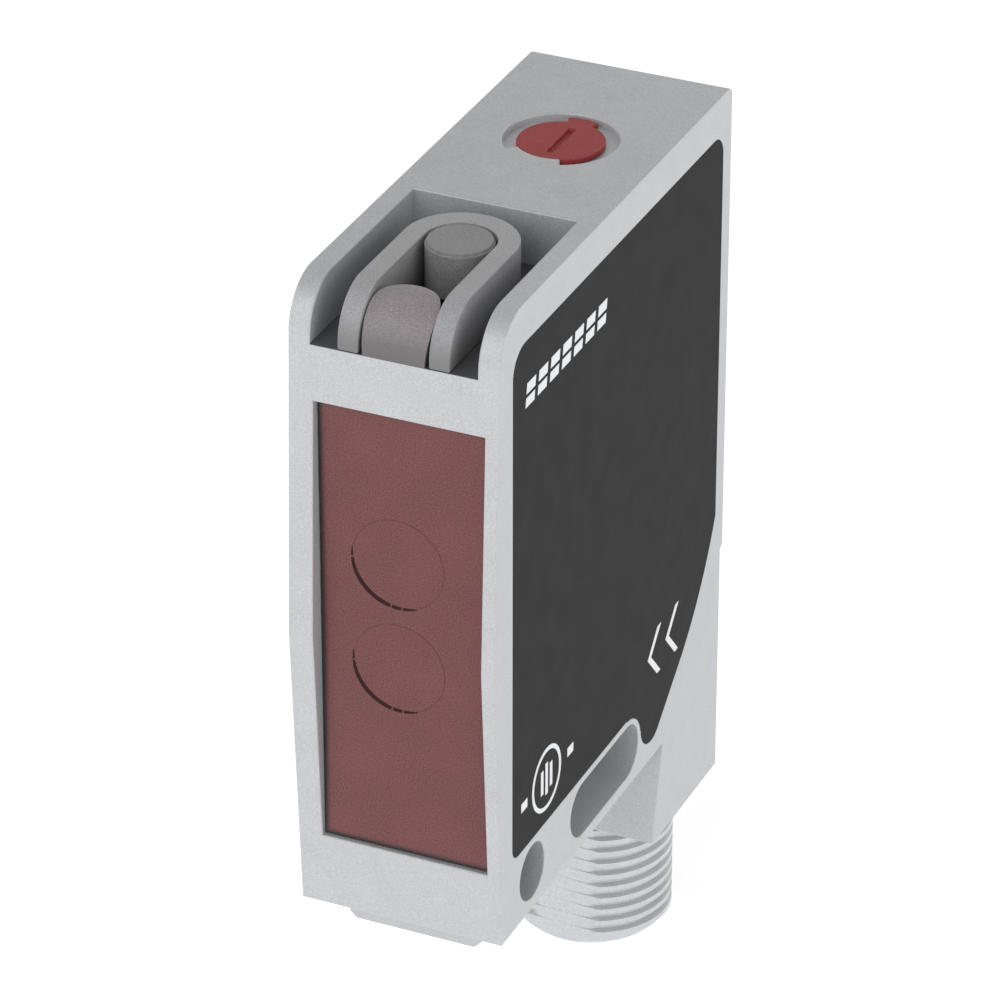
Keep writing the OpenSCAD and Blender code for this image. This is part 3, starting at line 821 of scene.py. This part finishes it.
@dataclass
class HousingCasting:
    """The die-cast housing, with its edges rounded as a casting's are."""

    shop: Workshop
    edge_r: float = 0.14 * MM
    small_edge_r: float = 0.06 * MM
    label_edge_r: float = 0.05 * MM
    hole_edge_r: float = 0.06 * MM
    sharp: float = math.radians(25)
    open_way: float = 25 * MM
    pocket_rim: float = 1.5 * MM

    def build(self) -> bpy.types.Object:
        """Builds the casting.

        Returns:
            The housing piece.
        """
        mesh = self.shop.node_copy("housing")
        self._weigh_edges(mesh)
        piece = self.shop.piece("housing_casting", mesh)
        bevel = piece.modifiers.new("edges", "BEVEL")
        bevel.limit_method = "WEIGHT"
        bevel.width = self.edge_r
        bevel.segments = 3
        bevel.use_clamp_overlap = False
        self.shop.smoothed(self.shop.settled(piece), 32)
        guard_low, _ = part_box("button_guard")
        dial_low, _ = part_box("dial")
        _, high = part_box("housing")
        # The finish paints shade on the pocket floor, placed from the guard, the housing and the dial.
        finish = replace(
            self.shop.finishes.housing,
            floor_z=guard_low.z,
            floor_half=high.x - self.pocket_rim,
            floor_end=dial_low.y,
        )
        return self.shop.handed_over(piece, finish, Body.SENSOR, Slot.HOUSING, ["housing"])

    def _weigh_edges(self, mesh: bmesh.types.BMesh) -> None:
        """Gives each open convex edge the share of the full rounding that it takes."""
        mesh.normal_update()
        tree = BVHTree.FromBMesh(mesh)
        low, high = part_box("housing")
        label_low, label_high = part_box("side_label")
        layer = mesh.edges.layers.float.new("bevel_weight_edge")
        for edge in mesh.edges:
            if len(edge.link_faces) != 2 or not edge.is_convex:
                continue
            one, two = edge.link_faces
            turn = one.normal.angle(two.normal, 0.0)
            if turn < self.sharp:
                continue
            middle = (edge.verts[0].co + edge.verts[1].co) / 2
            outward = (one.normal + two.normal).normalized()
            if tree.ray_cast(middle + outward * 0.05 * MM, outward, self.open_way)[0]:
                continue
            edge[layer] = self._radius(edge, middle, low, high, label_low, label_high, turn) / self.edge_r

    def _radius(
        self,
        edge: bmesh.types.BMEdge,
        middle: Vector,
        low: Vector,
        high: Vector,
        label_low: Vector,
        label_high: Vector,
        turn: float,
    ) -> float:
        """The rounding of one edge.

        Args:
            edge: The edge.
            middle: Its middle.
            low: The housing's lowest corner; not used.
            high: The housing's highest corner.
            label_low: The label's lowest corner.
            label_high: The label's highest corner.
            turn: The angle between its faces.

        Returns:
            The radius.
        """
        near = 0.02 * MM
        on_label_side = all(abs(v.co.x - high.x) < near for v in edge.verts)
        in_recess = label_low.x - near < middle.x < high.x - near
        if in_recess and middle.z < label_high.z and label_low.y < middle.y < label_high.y:
            return 0.0
        shortest = min(
            min(e.calc_length() for e in face.edges) for face in edge.link_faces
        )
        walls = [f for f in edge.link_faces if abs(f.normal.x) < 0.5]
        if on_label_side and walls:
            depth = max(v.co.x for v in walls[0].verts) - min(v.co.x for v in walls[0].verts)
            if depth < 2 * (label_high.x - label_low.x):
                return self.label_edge_r
        if turn < math.radians(50) or shortest < 2.2 * self.edge_r:
            curved = all(len(f.edges) == 4 for f in walls) and len(walls) == 1
            if curved and abs(middle.x) > high.x - near:
                return self.hole_edge_r
            return self.small_edge_r
        return self.edge_r


# ---------------------------------------------------------------- label


@dataclass
class SideLabel:
    """The dark film on the side, with plain printed marks in place of any sign."""

    shop: Workshop
    ink_t: float = 0.02 * MM
    edge_r: float = 0.03 * MM
    stripe_count: int = 7
    stripe_start: float = 1.95 * MM
    stripe_drop: float = 3.15 * MM
    stripe_pitch: float = 1.96 * MM
    stripe_w: float = 1.42 * MM
    stripe_h: float = 1.72 * MM
    stripe_slant: float = 0.28 * MM
    stripe_shares: tuple[tuple[float, float], ...] = ((0.0, 0.40), (0.56, 1.0))
    chevron_count: int = 2
    chevron_start: float = 23.45 * MM
    chevron_pitch: float = 3.25 * MM
    chevron_drop: float = 35.9 * MM
    chevron_half_h: float = 1.95 * MM
    chevron_reach: float = 1.75 * MM
    chevron_bar: float = 0.62 * MM
    ring_start: float = 5.67 * MM
    ring_drop: float = 35.35 * MM
    ring_out_r: float = 2.45 * MM
    ring_in_r: float = 2.12 * MM
    ring_steps: int = 48
    beam_w: float = 0.42 * MM
    beams: tuple[tuple[float, float], ...] = ((-0.75, 1.9), (0.0, 2.5), (0.75, 1.9))
    dash_w: float = 1.0 * MM
    dash_h: float = 0.7 * MM
    dashes: tuple[float, ...] = (-3.75, 4.05)

    def build(self) -> list[bpy.types.Object]:
        """Builds the film and its print.

        Returns:
            The pieces.
        """
        film = self.shop.piece("label_sheet", self.shop.node_copy("side_label"))
        self.shop.eased(film, self.edge_r, 1)
        self.shop.handed_over(
            film, self.shop.finishes.label, Body.SENSOR, Slot.LABEL, ["side_label"]
        )
        low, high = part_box("side_label")
        outlines = [
            *self._stripe(low, high), *self._chevrons(low, high), *self._ring(low, high)
        ]
        mesh = self.shop.plate(
            outlines, lambda y, z, rise: Vector((high.x + rise, y, z)), self.ink_t
        )
        marks = self.shop.piece("label_print", mesh)
        self.shop.handed_over(marks, self.shop.finishes.ink, Body.SENSOR, Slot.LABEL)
        return [film, marks]

    def _stripe(self, low: Vector, high: Vector) -> list[Outline]:
        """A row of slanted blocks, each split by a slit, near the upper front."""
        top = high.z - self.stripe_drop
        outlines: list[Outline] = []
        for i in range(self.stripe_count):
            y = low.y + self.stripe_start + i * self.stripe_pitch
            for share_from, share_to in self.stripe_shares:
                z_low = top - self.stripe_h * (1 - share_from)
                z_high = top - self.stripe_h * (1 - share_to)
                y_low = y + self.stripe_slant * share_from
                y_high = y + self.stripe_slant * share_to
                outlines.append(
                    [
                        (y_low, z_low),
                        (y_low + self.stripe_w, z_low),
                        (y_high + self.stripe_w, z_high),
                        (y_high, z_high),
                    ]
                )
        return outlines

    def _chevrons(self, low: Vector, high: Vector) -> list[Outline]:
        """Chevrons near the lower rear, each of two slanted bars."""
        z = high.z - self.chevron_drop
        reach, bar = self.chevron_reach, self.chevron_bar
        outlines: list[Outline] = []
        for i in range(self.chevron_count):
            y = low.y + self.chevron_start + i * self.chevron_pitch
            top, foot = z + self.chevron_half_h, z - self.chevron_half_h
            outlines.append([(y + reach, top), (y, z), (y + bar, z), (y + reach + bar, top)])
            outlines.append([(y, z), (y + reach, foot), (y + reach + bar, foot), (y + bar, z)])
        return outlines

    def _ring(self, low: Vector, high: Vector) -> list[Outline]:
        """A ring round three beams, with a dash on each side, near the lower front."""
        y, z = low.y + self.ring_start, high.z - self.ring_drop
        turns = [2 * math.pi * i / self.ring_steps for i in range(self.ring_steps + 1)]
        outlines: list[Outline] = [
            [
                (y + r * math.cos(t), z + r * math.sin(t))
                for r, t in (
                    (self.ring_in_r, a), (self.ring_out_r, a),
                    (self.ring_out_r, b), (self.ring_in_r, b),
                )
            ]
            for a, b in zip(turns, turns[1:])
        ]
        for shift, height in self.beams:
            outlines.append(self._bar(y + shift * MM, z, self.beam_w, height * MM))
        for shift in self.dashes:
            outlines.append(self._bar(y + shift * MM, z, self.dash_w, self.dash_h))
        return outlines

    @staticmethod
    def _bar(y: float, z: float, width: float, height: float) -> Outline:
        """An upright bar about a middle point.

        Args:
            y: The middle's place along Y.
            z: The middle's height.
            width: The bar's width.
            height: The bar's height.

        Returns:
            Its corners.
        """
        left, right = y - width / 2, y + width / 2
        foot, top = z - height / 2, z + height / 2
        return [(left, foot), (right, foot), (right, top), (left, top)]


# ---------------------------------------------------------------- window


@dataclass
class OpticalWindow:
    """The tinted window, with the rims of the two lenses showing in it and their shadows painted as dark
    crescents.
    """

    shop: Workshop
    edge_r: float = 0.06 * MM
    rim_r: float = 3.38 * MM
    line_w: float = 0.07 * MM
    # The painted rim shadows: width, span in degrees, dash gap and breaks.
    crescent_w: float = 0.30 * MM
    crescent_from: float = 168.0
    crescent_to: float = 296.0
    dash_gap: float = 2.2
    breaks: tuple[float, ...] = (182.0, 262.0, 276.0)
    rise: float = 0.012 * MM

    def build(self) -> list[bpy.types.Object]:
        """Builds the pane, the rim lines and the painted rim shadows.

        Returns:
            The pieces.
        """
        pane = self.shop.piece("window_pane", self.shop.node_copy("front_window"))
        self.shop.eased(pane, self.edge_r, 2)
        low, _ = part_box("front_window")
        # The pane's finish paints shadow along its left and lower edges.
        finish = replace(self.shop.finishes.pane, left=low.x, foot=low.z)
        self.shop.handed_over(pane, finish, Body.SENSOR, Slot.WINDOW, ["front_window"])
        lines, rim_shadow_bands = [], []
        for node in ("emitter_lens", "receiver_lens"):
            lens_low, lens_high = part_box(node)
            centre = (lens_low + lens_high) / 2
            lines += self._line(centre)
            rim_shadow_bands += self._crescent(centre)
        made = [pane]
        for name, outlines, finish, rise in (
            ("lens_rim_lines", lines, self.shop.finishes.rim_line, self.rise),
            ("lens_rim_shadows", rim_shadow_bands, self.shop.finishes.rim, 1.5 * self.rise),
        ):
            mesh = self.shop.plate(
                outlines, lambda x, z, h: Vector((x, low.y - h, z)), rise
            )
            piece = self.shop.piece(name, mesh)
            made.append(self.shop.handed_over(piece, finish, Body.SENSOR, Slot.WINDOW))
        return made

    def _band(
        self, centre: Vector, start: float, end: float, inner: Callable[[float], float],
        outer: Callable[[float], float], step: float = 3.0,
    ) -> list[Outline]:
        """Short cells along an arc.

        Args:
            centre: The arc's centre.
            start: Its first angle, in degrees.
            end: Its last angle.
            inner: The inner radius at an angle.
            outer: The outer radius at an angle.
            step: The longest cell, in degrees.

        Returns:
            The cells.
        """
        count = max(1, math.ceil((end - start) / step))
        cells: list[Outline] = []
        for i in range(count):
            a = start + (end - start) * i / count
            b = start + (end - start) * (i + 1) / count
            cells.append(
                [
                    (
                        centre.x + r(t) * math.cos(math.radians(t)),
                        centre.z + r(t) * math.sin(math.radians(t)),
                    )
                    for r, t in ((inner, a), (outer, a), (outer, b), (inner, b))
                ]
            )
        return cells

    def _line(self, centre: Vector) -> list[Outline]:
        """The thin line of a rim all round."""
        return self._band(
            centre, 0.0, 360.0, lambda t: self.rim_r - self.line_w, lambda t: self.rim_r, 6
        )

    def _crescent(self, centre: Vector) -> list[Outline]:
        """The painted shadow of a rim: a dark crescent, in dashes that taper to both ends."""
        span = self.crescent_to - self.crescent_from

        def width(angle: float) -> float:
            """The crescent's width at an angle."""
            share = (angle - self.crescent_from) / span
            return self.crescent_w * max(0.12, math.sin(math.pi * share) ** 0.6)

        cells: list[Outline] = []
        breaks = [self.crescent_from, *self.breaks, self.crescent_to]
        for start, end in zip(breaks, breaks[1:]):
            cells += self._band(
                centre, start, end - self.dash_gap, lambda t: self.rim_r - width(t),
                lambda t: self.rim_r + 0.02 * MM,
            )
        return cells


# ---------------------------------------------------------------- top


@dataclass
class TeachPanel:
    """Guard, teach button and light guide in the pocket at the front of the top."""

    shop: Workshop
    guard_edge_r: float = 0.12 * MM
    button_edge_r: float = 0.05 * MM
    guide_edge_r: float = 0.14 * MM

    def build(self) -> list[bpy.types.Object]:
        """Builds the three pieces.

        Returns:
            The pieces.
        """
        finishes = self.shop.finishes
        guard = self.shop.piece("guard_wall", self.shop.node_copy("button_guard"))
        self.shop.eased(guard, self.guard_edge_r)
        low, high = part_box("button_guard")
        # Guard and guide get painted shade, darker towards the pocket's floor.
        shaded = {"foot": low.z, "top": high.z}
        self.shop.handed_over(
            guard, replace(finishes.guard, **shaded), Body.SENSOR, Slot.GUARD, ["button_guard"]
        )
        cap = self.shop.piece("teach_cap", self.shop.node_copy("teach_button"))
        self.shop.eased(cap, self.button_edge_r)
        self.shop.handed_over(cap, finishes.button, Body.BUTTON, Slot.BUTTON, ["teach_button"])
        guide = self.shop.piece("light_pipe", self.shop.node_copy("light_guide"))
        self.shop.eased(guide, self.guide_edge_r)
        self.shop.handed_over(
            guide, replace(finishes.guide, **shaded), Body.SENSOR, Slot.GUIDE, ["light_guide"]
        )
        return [guard, cap, guide]


@dataclass
class SensitivityDial:
    """The slotted dial on the top."""

    shop: Workshop
    edge_r: float = 0.07 * MM

    def build(self) -> bpy.types.Object:
        """Builds the dial.

        Returns:
            The dial piece.
        """
        dial = self.shop.piece("dial_disc", self.shop.node_copy("dial"))
        self.shop.eased(dial, self.edge_r, 2)
        return self.shop.handed_over(
            dial, self.shop.finishes.dial, Body.DIAL, Slot.DIAL, ["dial"]
        )


# ---------------------------------------------------------------- plug


class Shaper(Graph):
    """The node graph of one Geometry Nodes modifier."""

    def __init__(self, name: str) -> None:
        """Starts a tree with a geometry output."""
        tree = bpy.data.node_groups.new(name, "GeometryNodeTree")
        super().__init__(tree)
        tree.interface.new_socket("Geometry", in_out="OUTPUT", socket_type="NodeSocketGeometry")
        self._entry: Optional[bpy.types.Node] = None
        self.names: dict[str, str] = {}

    def size(self, name: str, kind: str = "NodeSocketFloat") -> Field:
        """Adds a named input.

        Args:
            name: The input's name.
            kind: Its socket type.

        Returns:
            Its value in the tree.
        """
        made = self.tree.interface.new_socket(name, in_out="INPUT", socket_type=kind)
        self.names[name] = made.identifier
        if self._entry is None:
            self._entry = self.node("NodeGroupInput")
        return Field(self, self._entry.outputs[name])

    def close(self, geometry: Field, material: Field) -> None:
        """Ends the tree in real geometry with its material.

        Args:
            geometry: What the tree made.
            material: The material input.
        """
        real = self.node("GeometryNodeRealizeInstances", inputs={"Geometry": geometry})
        dressed = self.node(
            "GeometryNodeSetMaterial",
            inputs={"Geometry": self.field(real), "Material": material},
        )
        end = self.node("NodeGroupOutput")
        self.tree.links.new(dressed.outputs[0], end.inputs[0])

    def grown(self, name: str, values: Mapping[str, object]) -> bpy.types.Object:
        """Runs the tree on an empty mesh and keeps the result.

        Args:
            name: The new object's name.
            values: The tree's inputs, by name.

        Returns:
            An object with a plain mesh.
        """
        holder = bpy.data.objects.new(name, bpy.data.meshes.new(name + "_seed"))
        bpy.context.scene.collection.objects.link(holder)
        modifier = holder.modifiers.new("grow", "NODES")
        modifier.node_group = self.tree
        for key, value in values.items():
            modifier[self.names[key]] = value
        bpy.context.view_layer.update()
        graph = bpy.context.evaluated_depsgraph_get()
        data = bpy.data.meshes.new_from_object(holder.evaluated_get(graph))
        holder.modifiers.clear()
        old, holder.data = holder.data, data
        bpy.data.meshes.remove(old)
        return holder


@dataclass
class ScrewedPlug:
    """The barrel below the housing, with a real helical thread."""

    shop: Workshop
    pitch: float = 1.0 * MM
    depth: float = 0.38 * MM
    crest: float = 0.40 * MM
    neck_r: float = 5.4 * MM
    neck_h: float = 1.0 * MM
    shank_r: float = 4.9 * MM
    socket_r: float = 4.1 * MM
    socket_lead: float = 0.15 * MM
    seal_groove: float = 0.7 * MM
    seal_room: float = 0.25 * MM
    groove_lip: float = 0.3 * MM
    flat_gap: float = 0.04 * MM
    chamfer: float = 0.8 * MM
    flat: float = 5.3 * MM
    sink: float = 0.45 * MM
    start_turn: float = 90.0
    run_out: float = 0.08
    section_turn: float = 90.0

    def build(self) -> list[bpy.types.Object]:
        """Builds the barrel and its thread.

        Returns:
            The pieces.
        """
        low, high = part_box("plug_barrel")
        seal_low, seal_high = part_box("barrel_seal")
        housing_low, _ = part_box("housing")
        centre = (seal_low + seal_high) / 2
        crest_r = (high.x - low.x) / 2
        root_r = crest_r - self.depth
        bottom = housing_low.z
        profile = [
            (self.socket_r, low.z + self.socket_lead),
            (self.socket_r, high.z),
            (self.shank_r, high.z),
            (self.shank_r, seal_high.z + self.groove_lip),
            (self.shank_r - self.seal_groove, seal_high.z + self.seal_room),
            (self.shank_r - self.seal_groove, seal_low.z - self.seal_room),
            (self.shank_r, seal_low.z - self.seal_room),
            (self.shank_r, bottom),
            (self.neck_r, bottom),
            (self.neck_r, bottom - self.neck_h),
            (root_r, bottom - self.neck_h),
            (root_r, low.z + self.chamfer + root_r - crest_r),
            (crest_r - self.chamfer, low.z),
            (self.socket_r + self.socket_lead, low.z),
        ]
        barrel = self.shop.piece("plug_sleeve", self.shop.lathe(profile, centre))
        self._flattened(barrel, centre.y - self.flat + self.flat_gap)
        self.shop.smoothed(barrel, 25)
        self.shop.handed_over(
            barrel, self.shop.finishes.barrel, Body.SENSOR, Slot.BARREL, ["plug_barrel"]
        )
        thread = self._thread(centre, root_r, low.z + self.chamfer, bottom - self.neck_h)
        self._flattened(thread, centre.y - self.flat)
        self.shop.smoothed(thread, 25)
        self.shop.handed_over(thread, self.shop.finishes.barrel, Body.SENSOR, Slot.BARREL)
        return [barrel, thread]

    @staticmethod
    def _flattened(piece: bpy.types.Object, front_y: float) -> None:
        """Presses a turned piece flat on the side towards the front.

        Args:
            piece: The piece.
            front_y: Where the flat stands along Y.
        """
        for corner in piece.data.vertices:
            corner.co.y = max(corner.co.y, front_y)

    def _thread(
        self, centre: Vector, root_r: float, low_z: float, high_z: float
    ) -> bpy.types.Object:
        """Winds one ridge along a helix.

        Args:
            centre: A point on the axis.
            root_r: The radius at the thread's root.
            low_z: Where the thread starts.
            high_z: Where it ends.

        Returns:
            The thread.
        """
        tree = Shaper("screw_thread")
        labels = (
            "Root radius", "Turns", "Height", "Depth", "Root width", "Crest width", "Run out"
        )
        radius, turns, height, depth, root_w, crest_w, fade = map(tree.size, labels)
        origin = tree.size("Start", "NodeSocketVector")
        material = tree.size("Material", "NodeSocketMaterial")
        helix = tree.node(
            "GeometryNodeCurveSpiral",
            inputs={
                "Resolution": 96, "Rotations": turns, "Start Radius": radius,
                "End Radius": radius, "Height": height,
            },
        )
        upright = tree.node(
            "GeometryNodeSetCurveNormal", {"mode": "Z_UP"}, {"Curve": tree.field(helix)}
        )
        along = tree.field(tree.node("GeometryNodeSplineParameter"), "Factor")
        swell = ((along / fade).at_most((1 - along) / fade)).at_most(1.0)
        swollen = tree.node(
            "GeometryNodeSetCurveRadius",
            inputs={"Curve": tree.field(upright), "Radius": swell * 0.999 + 0.001},
        )
        section = tree.node(
            "GeometryNodeCurvePrimitiveQuadrilateral",
            {"mode": "TRAPEZOID"},
            {"Height": depth, "Bottom Width": root_w, "Top Width": crest_w, "Offset": 0.0},
        )
        turned = tree.node(
            "GeometryNodeTransform",
            inputs={
                "Geometry": tree.field(section),
                "Rotation": (0.0, 0.0, math.radians(self.section_turn)),
            },
        )
        swept = tree.node(
            "GeometryNodeCurveToMesh",
            inputs={
                "Curve": tree.field(swollen), "Profile Curve": tree.field(turned),
                "Fill Caps": True,
            },
        )
        moved = tree.node(
            "GeometryNodeTransform",
            inputs={
                "Geometry": tree.field(swept), "Translation": origin,
                "Rotation": (0.0, 0.0, math.radians(self.start_turn)),
            },
        )
        tree.close(tree.field(moved), material)
        wall = self.depth + self.sink
        return tree.grown(
            "plug_thread_ridge",
            {
                "Root radius": root_r + self.depth / 2 - self.sink / 2,
                "Turns": (high_z - low_z) / self.pitch,
                "Height": high_z - low_z,
                "Depth": wall,
                "Root width": self.pitch * 0.98,
                "Crest width": self.crest,
                "Run out": self.run_out,
                "Start": (centre.x, centre.y, low_z),
                "Material": self.shop.stock.of(self.shop.finishes.barrel),
            },
        )

# ---------------------------------------------------------------- inner parts


@dataclass
class InnerParts:
    """The parts behind the walls, which keep their shape."""

    shop: Workshop

    def build(self) -> None:
        """Dresses each inner part."""
        finishes = self.shop.finishes
        wear: dict[str, Moulded] = {
            "side_cover": finishes.steel,
            "side_gasket": finishes.rubber,
            "window_gasket": finishes.rubber,
            "lens_holder": finishes.black,
            "emitter_lens": finishes.lens,
            "receiver_lens": finishes.lens,
            "emitter_led": finishes.emitter,
            "receiver_diode": finishes.diode,
            "optics_board": finishes.board,
            "button_seal": finishes.rubber,
            "switch_plunger": finishes.white,
            "tact_switch": finishes.black,
            "status_leds": finishes.lamp,
            "ui_board": finishes.board,
            "ui_link": finishes.black,
            "dial_seal": finishes.rubber,
            "pot_rotor": finishes.white,
            "pot_body": finishes.pot,
            "pot_leads": finishes.tin,
            "main_board": finishes.board,
            "board_components": finishes.black,
            "board_screws": finishes.steel,
            "optics_link": finishes.black,
            "barrel_seal": finishes.rubber,
            "contact_insert": finishes.black,
            "contact_pins": finishes.gold,
            "plug_wires": finishes.wire,
        }
        for node, finish in wear.items():
            self.shop.carried_over(node, finish)


# ---------------------------------------------------------------- studio


@dataclass
class Studio:
    """Pale floor, soft lights and the camera."""

    azimuth: float = 24.09
    elevation: float = 29.572
    distance: float = 378.57 * MM
    aim_depth: float = 0.4394
    aim_height: float = 0.6533
    lens_mm: float = 199.2
    floor_half: float = 2.5
    floor_colour: Colour = (0.90, 0.90, 0.90)
    sky: float = 0.46

    def build(self) -> None:
        """Builds the camera, the floor and the lights."""
        low, high = (Vector(corner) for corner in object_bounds())
        aim = Vector(
            (
                (low.x + high.x) / 2,
                low.y + self.aim_depth * (high.y - low.y),
                low.z + self.aim_height * (high.z - low.z),
            )
        )
        scene = bpy.context.scene
        scene.view_settings.view_transform = "Standard"
        self._camera(aim)
        self._floor(low.z)
        self._sky()
        self._panel("panel_front", aim, -12, 34, 0.55, (0.5, 0.5), 0.95)
        self._panel("panel_right", aim, 82, 14, 0.6, (0.5, 0.5), 0.80)
        self._panel("panel_left", aim, -85, 20, 0.6, (0.4, 0.5), 0.35)
        self._panel("panel_back", aim, 175, 25, 0.7, (0.6, 0.4), 0.45)

    def _camera(self, aim: Vector) -> None:
        """Sets the camera on its angle, looking at a point."""
        data = bpy.data.cameras.new("camera")
        data.lens, data.sensor_width = self.lens_mm, 36.0
        data.clip_start, data.clip_end = 0.01, 20.0
        camera = bpy.data.objects.new("camera", data)
        bpy.context.scene.collection.objects.link(camera)
        back = self._direction(self.azimuth, self.elevation)
        camera.location = aim + back * self.distance
        camera.rotation_euler = (-back).to_track_quat("-Z", "Y").to_euler()
        bpy.context.scene.camera = camera

    @staticmethod
    def _direction(azimuth: float, elevation: float) -> Vector:
        """The direction towards a viewer at an azimuth and an elevation."""
        a, e = math.radians(azimuth), math.radians(elevation)
        return Vector((math.sin(a) * math.cos(e), -math.cos(a) * math.cos(e), math.sin(e)))

    def _floor(self, height: float) -> None:
        """Lays the floor under the sensor."""
        mesh = bmesh.new()
        half = self.floor_half
        corners = [mesh.verts.new((x, y, height)) for x, y in
                   ((-half, -half), (half, -half), (half, half), (-half, half))]
        mesh.faces.new(corners)
        data = bpy.data.meshes.new("floor")
        mesh.to_mesh(data)
        mesh.free()
        floor = bpy.data.objects.new("floor", data)
        bpy.context.scene.collection.objects.link(floor)
        paint = Paint("floor_pale", self.floor_colour)
        data.materials.append(
            paint.shaded(
                Base_Color=paint.mixed(
                    paint.noise(80 * MM), self.floor_colour, _shade(self.floor_colour, 1.03)
                ),
                Roughness=0.9,
                Emission_Color=(1.0, 1.0, 1.0, 1.0),
                Emission_Strength=0.46,
            )
        )
        floor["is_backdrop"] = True

    def _sky(self) -> None:
        """Fills the room with even light."""
        world = bpy.data.worlds.new("room")
        world.use_nodes = True
        background = world.node_tree.nodes["Background"]
        background.inputs["Color"].default_value = (1.0, 1.0, 1.0, 1.0)
        background.inputs["Strength"].default_value = self.sky
        bpy.context.scene.world = world

    def _panel(
        self, name: str, aim: Vector, azimuth: float, elevation: float, away: float,
        size: tuple[float, float], power: float,
    ) -> None:
        """Hangs a soft light panel.

        Args:
            name: The light's name.
            aim: The point that it faces.
            azimuth: Its direction from that point.
            elevation: Its height above that point.
            away: Its distance.
            size: Its width and height.
            power: Its power in watts.
        """
        data = bpy.data.lights.new(name, "AREA")
        data.shape = "RECTANGLE"
        data.size, data.size_y = size
        data.energy = power
        light = bpy.data.objects.new(name, data)
        bpy.context.scene.collection.objects.link(light)
        direction = self._direction(azimuth, elevation)
        light.location = aim + direction * away
        light.rotation_euler = (-direction).to_track_quat("-Z", "Y").to_euler()


def main() -> None:
    """Builds the studio and the sensor, piece by piece."""
    logging.basicConfig(level=logging.INFO, format="%(name)s: %(message)s")
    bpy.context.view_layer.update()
    Studio().build()
    shop = Workshop()
    HousingCasting(shop).build()
    SideLabel(shop).build()
    OpticalWindow(shop).build()
    TeachPanel(shop).build()
    SensitivityDial(shop).build()
    ScrewedPlug(shop).build()
    InnerParts(shop).build()


if __name__ == "__main__":
    main()
